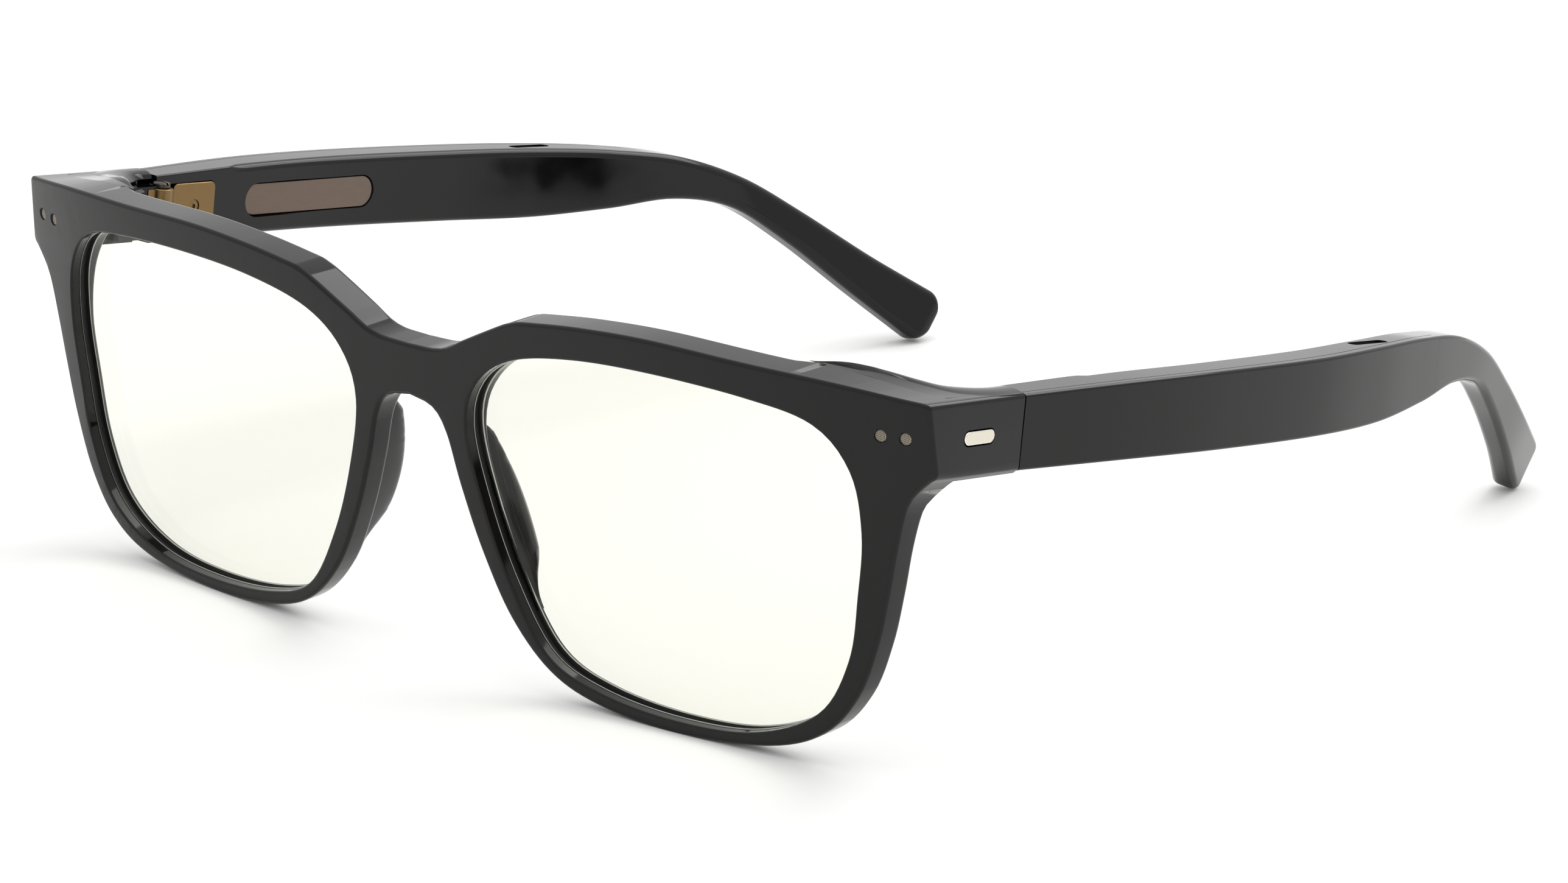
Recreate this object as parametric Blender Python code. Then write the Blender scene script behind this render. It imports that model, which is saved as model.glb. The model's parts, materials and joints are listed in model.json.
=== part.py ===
"""Smart glasses: a moulded front with two lenses and microphones, and two folding temples that
hold the speakers, batteries and boards. All design sizes are in millimetres, in a drawing frame
whose origin is level with the top corners of the front. place_all() stands the result on z = 0."""

import math

import bmesh
import bpy
from mathutils import Matrix, Vector

# Front: half width, its curve in plan, its lean, and its depth at the bar and at the rims
HALF_WIDTH = 72.5
CURVE_2 = 7.6e-4
CURVE_4 = 1.44e-7
LEAN = -0.051
BAR_DEPTH = 5.2
RIM_DEPTH = 3.6
EDGE = 0.5

# Lens: thickness, how deep it sits behind the front face, and how far it enters the groove
LENS_THICK = 1.5
LENS_SET = 1.4
LENS_BITE = 0.6
GAP = 0.25

# Ends of the front, swept back and down to meet the temples
END_SWEEP = 0.158
END_TUCK = 0.0625
END_INNER = 70.9
END_BOTTOM = -9.2
END_SCREW = (62.2, -2.6)

# Temple frame: a point on the hinge axis, the slope of the temple, and the parting gap
HINGE = Vector((66.4, 15.5, -6.95))
TEMPLE_SLOPE = math.radians(9.0)
PARTING = 0.2
COVER_THICK = 1.3
COVER_END = 84.0
WALL = 1.2
CAVITY_START = 14.0
CAVITY_END = 82.3

# Along the temple: distance, outer face, centre height, section height, section width
SPINE = (
    (0.0, 72.5, 0.0, 8.6, 4.95),
    (18.1, 74.1, 0.2, 9.0, 5.6),
    (33.7, 74.6, 0.1, 9.2, 5.6),
    (53.3, 73.8, -0.15, 9.3, 5.6),
    (67.7, 71.7, -0.25, 9.2, 5.3),
    (80.0, 69.0, -0.05, 8.0, 5.0),
    (90.7, 66.3, -0.1, 5.9, 4.6),
    (100.6, 63.5, -2.3, 4.5, 4.1),
    (109.5, 60.3, -7.0, 4.8, 3.8),
    (120.4, 56.1, -13.9, 6.0, 3.6),
    (128.6, 52.4, -19.0, 7.2, 3.6),
    (130.4, 51.5, -20.15, 7.5, 3.6),
)

# End of a temple's tip: distance beyond the last section, share of its height and of its width
TIP_END = ((0.7, 0.97, 1.0), (1.5, 0.85, 0.98), (2.0, 0.67, 0.81), (2.2, 0.44, 0.5))

# Hinge: barrel radius, pin radius, bore radius, and the height of the middle knuckle
BARREL = 1.5
PIN = 0.6
PIN_BORE = 0.68
MIDDLE = 2.2
BARREL_GAP = 0.15

# Speaker slot on the top and the bottom of the temple
SLOT_START = 64.4
SLOT_LENGTH = 7.0
SLOT_WIDTH = 1.5

# Microphones in the front face
MIC_X = (69.7, 66.7)
MIC_Z = -4.3
MIC_R = 0.72

# Function button under the right temple: its middle, its top above the underside, its travel
BUTTON_AT = 22.0
BUTTON_TOP = 1.75
BUTTON_TRAVEL = 0.4

# The front stands on its rims and the temples on their tips when turned by this much, each
# on a small flat
STAND_TILT = math.radians(1.96)
FLAT_DEPTH = 0.15
STANDING = ("front_frame", "temple_body_left", "temple_body_right")

# Finishes: base colour, metallic, roughness, alpha
FINISHES = {
    "shell": ((0.012, 0.012, 0.012), 0.0, 0.12, 1.0),
    "lens": ((0.92, 0.95, 0.94), 0.0, 0.02, 0.15),
    "badge": ((0.75, 0.72, 0.66), 1.0, 0.3, 1.0),
    "hinge": ((0.6, 0.45, 0.28), 1.0, 0.3, 1.0),
    "screw": ((0.55, 0.52, 0.48), 1.0, 0.3, 1.0),
    "board": ((0.02, 0.12, 0.05), 0.0, 0.5, 1.0),
    "flex": ((0.45, 0.2, 0.03), 0.0, 0.5, 1.0),
    "mesh": ((0.3, 0.24, 0.17), 1.0, 0.4, 1.0),
    "capsule": ((0.7, 0.6, 0.35), 1.0, 0.3, 1.0),
    "plaque": ((0.3, 0.24, 0.2), 1.0, 0.45, 1.0),
    "speaker": ((0.05, 0.05, 0.05), 0.0, 0.5, 1.0),
    "cell": ((0.6, 0.6, 0.62), 1.0, 0.4, 1.0),
    "coil": ((0.7, 0.35, 0.15), 1.0, 0.35, 1.0),
}

# Outlines across and up: the front's top edge and lower edge from the middle out and back, and
# the left lens opening, clockwise from the middle of its top
TOP_EDGE = (
    (0.0, -5.4), (4.2, -5.25), (6.6, -4.65), (8.6, -3.6), (13.4, -1.25), (15.9, -0.1),
    (17.4, 0.42), (19.4, 0.75), (27.0, 1.55), (37.0, 1.95), (50.0, 1.5), (62.0, 0.95), (72.5, 0.0),
)
LOWER_EDGE = (
    (73.0, -8.3), (71.3, -9.7), (69.4, -12.2), (68.0, -17.4), (66.8, -23.0), (65.2, -29.2),
    (62.6, -35.6), (58.2, -40.7), (51.0, -43.6), (38.0, -44.8), (27.0, -43.9), (19.8, -41.4),
    (14.2, -36.0), (10.2, -28.6), (7.4, -21.2), (5.6, -15.2), (3.6, -12.5), (0.0, -11.7),
)
LENS_EDGE = (
    (37.5, -2.0), (50.0, -2.6), (58.5, -4.3), (62.8, -9.0), (63.9, -16.0), (63.1, -23.5),
    (61.6, -31.5), (57.5, -38.4), (49.0, -42.3), (38.0, -43.2), (27.0, -42.2), (19.5, -39.3),
    (14.5, -31.8), (11.0, -23.0), (9.0, -14.0), (11.0, -8.2), (16.5, -4.4), (26.0, -2.5),
)


def clear_scene():
    for old in list(bpy.data.objects):
        bpy.data.objects.remove(old, do_unlink=True)


def material(name, colour, metallic=0.0, roughness=0.4, alpha=1.0):
    made = bpy.data.materials.new(name)
    made.use_nodes = True
    shader = made.node_tree.nodes["Principled BSDF"]
    shader.inputs["Base Color"].default_value = (*colour, 1.0)
    shader.inputs["Metallic"].default_value = metallic
    shader.inputs["Roughness"].default_value = roughness
    shader.inputs["Alpha"].default_value = alpha
    return made


# Curves and sections


def spline(points, step, closed=False):
    """Points about `step` apart on a Catmull-Rom curve through the given points."""
    count = len(points)
    result = []
    for i in range(count if closed else count - 1):
        if closed:
            a, b, c, d = (Vector(points[(i + k) % count]) for k in (-1, 0, 1, 2))
        else:
            b, c = Vector(points[i]), Vector(points[i + 1])
            a = Vector(points[i - 1]) if i else 2 * b - c
            d = Vector(points[i + 2]) if i + 2 < count else 2 * c - b
        pieces = max(1, round((c - b).length / step))
        for k in range(pieces):
            u = k / pieces
            result.append(0.5 * (2 * b + (c - a) * u + (2 * a - 5 * b + 4 * c - d) * u**2
                                 + (3 * b - a - 3 * c + d) * u**3))
    if not closed:
        result.append(Vector(points[-1]))
    return result


def offset(loop, distance):
    """The closed loop moved outwards; it runs clockwise, so outwards is to its left."""
    moved = []
    for i, here in enumerate(loop):
        along = (loop[(i + 1) % len(loop)] - loop[i - 1]).normalized()
        moved.append(here + distance * Vector((-along.y, along.x)))
    return moved


def spine_at(t):
    """Outer face, centre height, section height and width at a distance along the temple."""
    if t <= SPINE[0][0]:
        return SPINE[0][1:]
    index = max(i for i in range(len(SPINE) - 1) if SPINE[i][0] <= t)
    p1, p2 = SPINE[index], SPINE[index + 1]
    p0, p3 = SPINE[max(index - 1, 0)], SPINE[min(index + 2, len(SPINE) - 1)]
    span = p2[0] - p1[0]
    u = min((t - p1[0]) / span, 1.0)
    values = []
    for k in range(1, 5):
        m1 = (p2[k] - p0[k]) / (p2[0] - p0[0]) * span
        m2 = (p3[k] - p1[k]) / (p3[0] - p1[0]) * span
        values.append((2 * u**3 - 3 * u**2 + 1) * p1[k] + (u**3 - 2 * u**2 + u) * m1
                      + (3 * u**2 - 2 * u**3) * p2[k] + (u**3 - u**2) * m2)
    return values


def front_y(x, z):
    """Depth of the front face."""
    x = abs(x)
    return CURVE_2 * (x**2 - HALF_WIDTH**2) + CURVE_4 * (x**4 - HALF_WIDTH**4) + LEAN * z


def thickness(z):
    return BAR_DEPTH + (RIM_DEPTH - BAR_DEPTH) * smoothstep(0.0, 18.0, -z)


def smoothstep(low, high, value):
    u = min(max((value - low) / (high - low), 0.0), 1.0)
    return u * u * (3 - 2 * u)


def bent(x, depth, z):
    """A point of the flat front, `depth` behind its face, carried to the curved front."""
    end = smoothstep(56.0, 70.0, abs(x))
    tuck = END_TUCK * depth * max(abs(x) - HALF_WIDTH, 0.0)
    return Vector((x - math.copysign(tuck, x), front_y(x, z) + depth, z - END_SWEEP * depth * end))


def end_depth(x, z, t):
    """How far behind the front face the plane across the temple at distance t lies."""
    slope = math.tan(TEMPLE_SLOPE)
    y = HINGE.y + t / math.cos(TEMPLE_SLOPE) + (z - HINGE.z) * slope
    return (y - front_y(x, z)) / (1 + END_SWEEP * slope)


def on_temple(x, t, a):
    """A point in the temple frame: across, along the temple and up the hinge axis."""
    c, s = math.cos(TEMPLE_SLOPE), math.sin(TEMPLE_SLOPE)
    return Vector((x, HINGE.y + t * c + a * s, HINGE.z - t * s + a * c))


# Meshes


def mesh_of(bm):
    bmesh.ops.recalc_face_normals(bm, faces=bm.faces)
    mesh = bpy.data.meshes.new("part")
    bm.to_mesh(mesh)
    bm.free()
    return mesh


def loft(rings):
    """A closed body through rings of equal count, with flat ends."""
    bm = bmesh.new()
    rows = [[bm.verts.new(point) for point in ring] for ring in rings]
    for low, high in zip(rows, rows[1:]):
        for i in range(len(low)):
            j = (i + 1) % len(low)
            bm.faces.new((low[i], low[j], high[j], high[i]))
    bm.faces.new(rows[0])
    bm.faces.new(list(reversed(rows[-1])))
    return mesh_of(bm)


def block(place, low, high):
    """A box between two corners of a frame, given by its mapping function."""
    corners = [(x, y) for x, y in ((low[0], low[1]), (high[0], low[1]),
                                   (high[0], high[1]), (low[0], high[1]))]
    return loft([[place(x, y, z) for x, y in corners] for z in (low[2], high[2])])


def ring_of(place, centre, radii, level, axis, count=20):
    """A circle or ellipse at a level along axis 0, 1 or 2 of a frame."""
    ring = []
    for k in range(count):
        angle = math.tau * k / count
        point = [0.0, 0.0, 0.0]
        others = [i for i in range(3) if i != axis]
        point[axis] = level
        point[others[0]] = centre[0] + radii[0] * math.cos(angle)
        point[others[1]] = centre[1] + radii[1] * math.sin(angle)
        ring.append(place(*point))
    return ring


def turned(place, centre, steps, axis, count=20):
    """A turned body: steps are (level, radius) along the axis of the frame."""
    return loft([ring_of(place, centre, (r, r), level, axis, count) for level, r in steps])


def stadium(place, centre, half, radius, levels, axis, count=6):
    """A slot-shaped body, long along the first of its two directions."""
    rings = []
    for level, grow in levels:
        ring = []
        for side, start in ((1, -90), (-1, 90)):
            for k in range(count + 1):
                angle = math.radians(start + 180 * k / count)
                u = centre[0] + side * (half - radius) + (radius + grow) * math.cos(angle)
                v = centre[1] + (radius + grow) * math.sin(angle)
                point = [u, v]
                point.insert(axis, level)
                ring.append(place(*point))
        rings.append(ring)
    return loft(rings)


def combine(mesh, others, operation):
    """The mesh with the other meshes cut from it, added to it or kept in common with it."""
    target = bpy.data.objects.new("target", mesh)
    bpy.context.collection.objects.link(target)
    helpers = []
    for other in others:
        helper = bpy.data.objects.new("helper", other)
        bpy.context.collection.objects.link(helper)
        modifier = target.modifiers.new("combine", "BOOLEAN")
        modifier.solver = "EXACT"
        modifier.operation = operation
        modifier.object = helper
        helpers.append(helper)
    bpy.context.view_layer.update()
    graph = bpy.context.evaluated_depsgraph_get()
    result = bpy.data.meshes.new_from_object(target.evaluated_get(graph))
    for helper in [*helpers, target]:
        bpy.data.objects.remove(helper, do_unlink=True)
    return result


def cut(mesh, *others):
    return combine(mesh, others, "DIFFERENCE")


def join(mesh, *others):
    return combine(mesh, others, "UNION")


def common(mesh, other):
    return combine(mesh, [other], "INTERSECT")


# Front frame


def half_outline(step):
    top = spline(TOP_EDGE, step)
    lower = spline(LOWER_EDGE, step)
    return top + lower


def whole_outline(step):
    """The front's outline, clockwise from the middle of its top edge."""
    right = half_outline(step)
    left = [Vector((-p.x, p.y)) for p in reversed(right[1:-1])]
    return right + left


def lens_loop(step, side):
    loop = spline(LENS_EDGE, step, closed=True)
    if side < 0:
        loop = [Vector((-p.x, p.y)) for p in reversed(loop)]
    return loop


def add_ring(bm, loop, depth):
    return [bm.verts.new((p.x, depth(p.y), p.y)) for p in loop]


def skin(bm, rings):
    for low, high in zip(rings, rings[1:]):
        for i in range(len(low)):
            j = (i + 1) % len(low)
            bm.faces.new((low[i], low[j], high[j], high[i]))


def edges_of(ring):
    edges = []
    for a, b in zip(ring, ring[1:] + ring[:1]):
        edges.append(next(e for e in a.link_edges if e.other_vert(a) is b))
    return edges


def front_slab():
    """The front before its pads and pockets: rims, bar, bridge and the two swept ends."""
    bm = bmesh.new()
    outline = whole_outline(2.6)
    rings = [add_ring(bm, offset(outline, -EDGE), lambda z: 0.0),
             add_ring(bm, outline, lambda z: EDGE),
             add_ring(bm, outline, thickness)]
    skin(bm, rings)
    faces = [[rings[0]], [rings[-1]]]
    for side in (1, -1):
        loop = lens_loop(3.0, side)
        groove = offset(loop, LENS_BITE + GAP)
        low, high = LENS_SET - GAP, LENS_SET + LENS_THICK + GAP
        rings = [add_ring(bm, offset(loop, 0.3), lambda z: 0.0),
                 add_ring(bm, loop, lambda z: 0.3),
                 add_ring(bm, loop, lambda z: low),
                 add_ring(bm, groove, lambda z: low),
                 add_ring(bm, groove, lambda z: high),
                 add_ring(bm, loop, lambda z: high),
                 add_ring(bm, loop, thickness)]
        skin(bm, rings)
        faces[0].append(rings[0])
        faces[1].append(rings[-1])
    for group in faces:
        edges = [edge for ring in group for edge in edges_of(ring)]
        bmesh.ops.triangle_fill(bm, use_beauty=True, use_dissolve=False, edges=edges)
    bmesh.ops.recalc_face_normals(bm, faces=bm.faces)
    for side in (1, -1):
        grow_end(bm, side)
    for vert in bm.verts:
        vert.co = bent(*vert.co)
    return mesh_of(bm)


def grow_end(bm, side):
    """Carries the back of one end on to the parting with the temple."""
    geom = bm.verts[:] + bm.edges[:] + bm.faces[:]
    bmesh.ops.bisect_plane(bm, geom=geom, plane_co=(side * END_INNER, 0, 0), plane_no=(1, 0, 0))
    outer = [f for f in bm.faces if side * f.calc_center_median().x > END_INNER]
    edges = {e for f in outer for e in f.edges}
    verts = {v for f in outer for v in f.verts}
    bmesh.ops.bisect_plane(bm, geom=[*verts, *edges, *outer],
                           plane_co=(0, 0, END_BOTTOM), plane_no=(0, 0, 1))
    bm.normal_update()
    back = []
    for face in bm.faces:
        middle = face.calc_center_median()
        if side * middle.x > END_INNER and middle.z > END_BOTTOM and face.normal.y > 0.9:
            back.append(face)
    grown = bmesh.ops.extrude_face_region(bm, geom=back)["geom"]
    bmesh.ops.delete(bm, geom=back, context="FACES_ONLY")
    for vert in grown:
        if isinstance(vert, bmesh.types.BMVert):
            vert.co.y = end_depth(vert.co.x, vert.co.z, 0.0)


def nose_pad(side):
    """One moulded pad: it leans back and away from the nose behind the rim."""
    rings = []
    spots = spline(((5.4, -13.6), (7.3, -20.6), (10.2, -28.4), (14.4, -36.2)), 2.0)
    for i, spot in enumerate(spots):
        u = i / (len(spots) - 1)
        reach = 3.9 * math.sin(math.pi * (0.05 + 0.9 * u)) ** 0.8
        thick = 1.8 + 0.7 * math.sin(math.pi * u)
        along = (spots[min(i + 1, len(spots) - 1)] - spots[max(i - 1, 0)]).normalized()
        out = Vector((-along.y, along.x))
        back = front_y(spot.x, spot.y) + thickness(spot.y)
        section = ((0.3, -0.5), (0.35, 0.0), (0.05 * reach + 0.35, 0.75 * reach),
                   (0.1 * reach + 0.9, reach), (0.1 * reach + 1.6, reach * 0.98),
                   (0.1 * reach + thick, 0.6 * reach), (thick + 0.2, -0.5))
        rings.append([Vector((side * (spot.x + n * out.x), back + d, spot.y + n * out.y))
                      for n, d in section])
    return loft(rings)


def mic_place(side):
    """A frame on the front face at the microphones: along the face, into it, and up."""
    x = sum(MIC_X) / 2
    slope = (front_y(x + 0.5, MIC_Z) - front_y(x - 0.5, MIC_Z))
    along = Vector((1, slope, 0)).normalized()
    into = Vector((-slope, 1, 0)).normalized()
    origin = Vector((x, front_y(x, MIC_Z), MIC_Z))

    def place(u, depth, z):
        point = origin + along * u + into * depth + Vector((0, 0, z))
        return Vector((side * point.x, point.y, point.z))

    return place


def side_place(side):
    """The end's outer face: along it, up it, and into it from the face."""
    origin = Vector((HALF_WIDTH + 0.13, 8.2, -5.6))
    along = Vector((-0.016, 1.0, -END_SWEEP)).normalized()
    into = Vector((-1.0, -0.016, 0.0)).normalized()
    up = along.cross(into).normalized()
    up = up if up.z > 0 else -up

    def place(depth, u, v):
        point = origin + into * depth + along * u + up * v
        return Vector((side * point.x, point.y, point.z))

    return place


def mirrored(side):
    """The temple frame on the left (side 1) or right (side -1)."""
    def place(x, t, a):
        point = on_temple(x, t, a)
        return Vector((side * point.x, point.y, point.z))

    return place


def make_front():
    body = front_slab()
    body = join(body, nose_pad(1), nose_pad(-1))
    cutters = []
    for side in (1, -1):
        mic, face = mic_place(side), side_place(side)
        for x in MIC_X:
            u = x - sum(MIC_X) / 2
            cutters.append(turned(mic, (u, 0.0), ((-1.0, MIC_R), (2.4, MIC_R)), 1, 16))
        cutters.append(block(mic, (-4.4, 1.8, -2.8), (2.9, 8.0, 2.6)))
        cutters.append(stadium(face, (0.0, 0.0), 2.75, 0.95, ((-1.0, 0.0), (0.55, 0.0)), 0))
        cutters.append(turned(plain(side), END_SCREW, ((0.0, 0.55), (6.0, 0.55)), 1, 12))
    return cut(body, *cutters)


def plain(side):
    def place(x, y, z):
        return Vector((side * x, y, z))

    return place


def make_lens(side):
    """A lens follows the front's curve and ends in a plain edge inside the groove."""
    bm = bmesh.new()
    loop = lens_loop(3.0, side)
    wide = offset(loop, LENS_BITE)
    rings = [add_ring(bm, wide, lambda z: LENS_SET),
             add_ring(bm, wide, lambda z: LENS_SET + LENS_THICK)]
    skin(bm, rings)
    for ring in rings:
        bmesh.ops.triangle_fill(bm, use_beauty=True, edges=edges_of(ring))
    for x in range(12, 66, 6):
        geom = bm.verts[:] + bm.edges[:] + bm.faces[:]
        bmesh.ops.bisect_plane(bm, geom=geom, plane_co=(side * x, 0, 0), plane_no=(1, 0, 0))
    for vert in bm.verts:
        vert.co = bent(*vert.co)
    return mesh_of(bm)


def make_end_cover(side):
    """The inner cover of an end, closed over the microphone board and holding the hinge leaf."""
    plan = ((57.5, 2.9), (62.0, 3.9), (66.0, 5.0), (70.5, 6.1), (70.6, 15.0), (68.0, 15.0),
            (67.9, 13.5), (67.1, 11.4), (63.5, 7.8), (57.5, 4.4))
    rings = []
    for level in (-8.4, 0.1):
        ring = []
        for x, y in plan:
            if y == 15.0:
                y = end_depth(HALF_WIDTH, level, -0.1)
            ring.append(Vector((side * x, y, level - END_SWEEP * y)))
        rings.append(ring)
    body = loft(rings)
    place = mirrored(side)
    leaf = block(place, (66.0, -7.0, -3.3), (68.3, -1.0, 3.3))
    hole = turned(plain(side), END_SCREW, ((0.0, 0.65), (9.0, 0.65)), 1, 12)
    channel = block(place, (68.7, -12.0, -1.6), (69.6, 1.0, 1.6))
    return cut(body, leaf, hole, channel)


# Temples


def temple_rings(start, end, inset, depth_from, depth_to, radius, step=7.0):
    """Rounded sections along the temple between two depths behind its outer face."""
    count = max(2, round((end - start) / step))
    rings = []
    for i in range(count + 1):
        t = start + (end - start) * i / count
        outer, centre, high, wide = spine_at(t)
        ahead = spine_at(t + 0.5)
        behind = spine_at(t - 0.5)
        slope = (ahead[1] - behind[1]) if t > 1 else 0.0
        bow = (ahead[0] - behind[0]) if t > 1 else 0.0
        along = Vector((bow, 1.0, slope)).normalized()
        up = Vector((0.0, -slope, 1.0)).normalized()
        across = along.cross(up).normalized()
        across = across if across.x > 0 else -across
        deep = wide if depth_to is None else depth_to
        low, top = -high / 2 + inset, high / 2 - inset
        r = min(radius, (top - low) / 2 - 0.1, (deep - depth_from) / 2 - 0.1)
        ring = []
        for cx, cy, first in ((-depth_from - r, top - r, 0), (-deep + r, top - r, 90),
                              (-deep + r, low + r, 180), (-depth_from - r, low + r, 270)):
            for k in range(4):
                angle = math.radians(first + 30 * k)
                n, v = cx + r * math.cos(angle), cy + r * math.sin(angle)
                ring.append(Vector((outer, t, centre)) + across * n + up * v)
        rings.append(ring)
    return rings


def temple_solid(side, *args, round_end=False, **kwargs):
    place = mirrored(side)
    rings = temple_rings(*args, **kwargs)
    if round_end:
        last = rings[-1]
        middle = sum(last, Vector()) / len(last)
        along = (middle - sum(rings[-2], Vector()) / len(last)).normalized()
        up = Vector((0.0, -along.z, along.y)).normalized()
        for push, high, wide in TIP_END:
            rings.append([middle + (p - middle) * wide + up * (p - middle).dot(up) * (high - wide)
                          + along * push for p in last])
    return loft([[place(*point) for point in ring] for ring in rings])


def temple_shell(side):
    """The full outside shape of a temple, tip and all."""
    return temple_solid(side, PARTING, 129.7, 0.0, 0.0, None, 1.1, 5.2, round_end=True)


def slot_centre():
    """Middle of the speaker slots across and up the temple, and the temple's height there."""
    outer, centre, high, wide = spine_at(SLOT_START + SLOT_LENGTH / 2)
    return outer - 0.5 * wide - 0.15, centre, high


def make_temple_body(side):
    place = mirrored(side)
    shell = temple_shell(side)
    x, centre, high = slot_centre()
    cutters = [
        temple_solid(side, -3.0, COVER_END, -2.0, -3.0, COVER_THICK + 0.1, 0.2),
        temple_solid(side, CAVITY_START, CAVITY_END, WALL, -1.0, 4.5, 0.5),
        block(place, (67.0, -1.0, -3.2), (68.8, 10.8, 3.2)),
        inside(side, -1.0, CAVITY_START + 1.0, -1.6, 1.6, COVER_THICK, 1.75),
        inner_plate_mesh(side, 0.2, -1.0),
        turned(place, (7.0, 0.0), ((67.0, 0.5), (69.5, 0.5)), 0, 12),
    ]
    for up in (1, -1):
        low, top = sorted((centre + up * (high / 2 - 1.8), centre + up * (high / 2 + 1.0)))
        cutters.append(block(place, (x - SLOT_WIDTH / 2, SLOT_START, low),
                             (x + SLOT_WIDTH / 2, SLOT_START + SLOT_LENGTH, top)))
    if side < 0:
        cutters.append(button_bar(side, 4.5, 0.9, ((-6.0, 0.25), (-2.5, 0.25))))
    return cut(shell, *cutters)


def make_temple_cover(side):
    """The thin outer plate that closes the temple, from the hinge to the bend."""
    plate = temple_solid(side, -3.0, COVER_END - GAP, -2.0, -3.0, COVER_THICK - 0.15, 0.2)
    return common(temple_shell(side), plate)


def inner_plate_mesh(side, grow, out):
    """The plaque let into the inner face; also its recess when grown."""
    place = mirrored(side)

    def from_inner_face(depth, t, a):
        outer, _, _, wide = spine_at(t)
        return place(outer - wide + depth, t, a)

    levels = ((out, grow), (0.6 + grow, grow))
    if out > 0:
        levels = ((0.12, -0.15), (0.27, 0.0), (0.6, 0.0))
    return stadium(from_inner_face, (28.1, 0.0), 11.4, 2.0, levels, 0)


def knuckle(place, low, high):
    return turned(place, (HINGE.x, 0.0), ((low, BARREL), (high, BARREL)), 2, 24)


def pin_bore(place):
    return turned(place, (HINGE.x, 0.0), ((-5.0, PIN_BORE), (5.0, PIN_BORE)), 2, 20)


def make_temple_hinge(side):
    """Leaf and middle knuckle on the temple."""
    place = mirrored(side)
    half = MIDDLE / 2 - BARREL_GAP / 2
    leaf = block(place, (67.75, 1.9, -3.0), (68.6, 10.5, 3.0))
    neck = block(place, (66.6, 0.25, 0.05 - half), (68.4, 2.6, half - 0.05))
    hole = turned(place, (7.0, 0.0), ((67.0, 0.95), (68.1, 0.95), (68.3, 0.6), (69.0, 0.6)), 0, 16)
    return cut(join(leaf, neck, knuckle(place, -half, half)), pin_bore(place), hole)


def make_front_hinge(side):
    """Leaf and the two outer knuckles on the front."""
    place = mirrored(side)
    half = MIDDLE / 2 + BARREL_GAP / 2
    leaf = block(place, (66.3, -6.8, -2.9), (67.6, -1.9, 2.9))
    parts = []
    for low, high in ((half, 3.0), (-3.0, -half)):
        parts.append(knuckle(place, low, high))
        parts.append(block(place, (65.9, -2.6, low + 0.05), (67.4, -0.9, high - 0.05)))
    return cut(join(leaf, *parts), pin_bore(place))


def make_hinge_screw(side):
    place = mirrored(side)
    steps = ((-3.0, 0.45), (-2.8, PIN), (3.15, PIN), (3.15, 1.1), (3.6, 1.1), (3.75, 0.9))
    body = loft([ring_of(place, (HINGE.x, 0.0), (r, r), level, 2, 16)
                 for level, r in steps])
    slot = block(place, (HINGE.x - 1.3, -0.15, 3.45), (HINGE.x + 1.3, 0.15, 4.5))
    return cut(body, slot)


def make_leaf_screw(side):
    """Countersunk screw through the temple leaf."""
    place = mirrored(side)
    steps = ((67.85, 0.85), (68.0, 0.85), (68.3, 0.42), (69.4, 0.4))
    body = turned(place, (7.0, 0.0), steps, 0, 16)
    slot = block(place, (67.0, 7.0 - 0.14, -1.2), (68.02, 7.0 + 0.14, 1.2))
    return cut(body, slot)


def make_cover_screw(side):
    """Screw that draws the end cover to the front."""
    steps = ((0.3, 0.4), (3.9, 0.45), (6.4, 0.45))
    return turned(plain(side), END_SCREW, steps, 1, 12)


def make_badge(side):
    """Metal pill set in the outer face of an end."""
    levels = ((-0.08, -0.12), (0.0, 0.0), (0.4, 0.0))
    return stadium(side_place(side), (0.0, 0.0), 2.6, 0.8, levels, 0, 8)


def make_mic_mesh(side, x):
    u = x - sum(MIC_X) / 2
    return turned(mic_place(side), (u, 0.0), ((0.45, 0.62), (0.75, 0.62)), 1, 16)


def make_mic_capsule(side, x):
    u = x - sum(MIC_X) / 2
    return block(mic_place(side), (u - 1.2, 2.0, -1.7), (u + 1.2, 3.0, 1.7))


def make_mic_board(side):
    return block(mic_place(side), (-3.9, 3.15, -2.4), (2.6, 3.75, 2.3))


def make_front_flex(side):
    """Ribbon from the microphone board to the hinge end of the cover."""
    return block(mirrored(side), (69.0, -8.2, -1.3), (69.2, -0.4, 1.3))


def cavity_x(t, depth):
    outer = spine_at(t)[0]
    return outer - COVER_THICK - 0.3 - depth


def inside(side, t0, t1, a0, a1, d0, d1):
    """A box in the temple's cavity that follows the bow of the temple."""
    place = mirrored(side)
    rings = []
    for i in range(4):
        t = t0 + (t1 - t0) * i / 3
        near, far, centre = cavity_x(t, d0), cavity_x(t, d1), spine_at(t)[1]
        rings.append([place(near, t, centre + a0), place(near, t, centre + a1),
                      place(far, t, centre + a1), place(far, t, centre + a0)])
    return loft(rings)


def button_bar(side, half, radius, levels):
    """A bar along the temple at the button, through the given levels up the hinge axis."""
    place = mirrored(side)

    def along(t, x, a):
        return place(x, t, a)

    return stadium(along, (BUTTON_AT, cavity_x(BUTTON_AT, 1.45)), half, radius, levels, 2)


def underside():
    """Height of the temple's underside at the button."""
    _, centre, high, _ = spine_at(BUTTON_AT)
    return centre - high / 2


def make_button(side):
    """The button's cap, with the flange that keeps it in."""
    low = underside()
    cap = button_bar(side, 4.5, 0.9, ((low - 0.15, -0.25), (low + 0.1, 0.0), (low + 1.35, 0.0)))
    flange = button_bar(side, 5.1, 1.15, ((low + 1.3, 0.0), (low + BUTTON_TOP, 0.0)))
    return join(cap, flange)


def make_switch(side):
    low = underside() + BUTTON_TOP + BUTTON_TRAVEL + 0.05
    return inside(side, BUTTON_AT - 1.8, BUTTON_AT + 1.8, low, low + 1.3, 0.3, 2.6)


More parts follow.
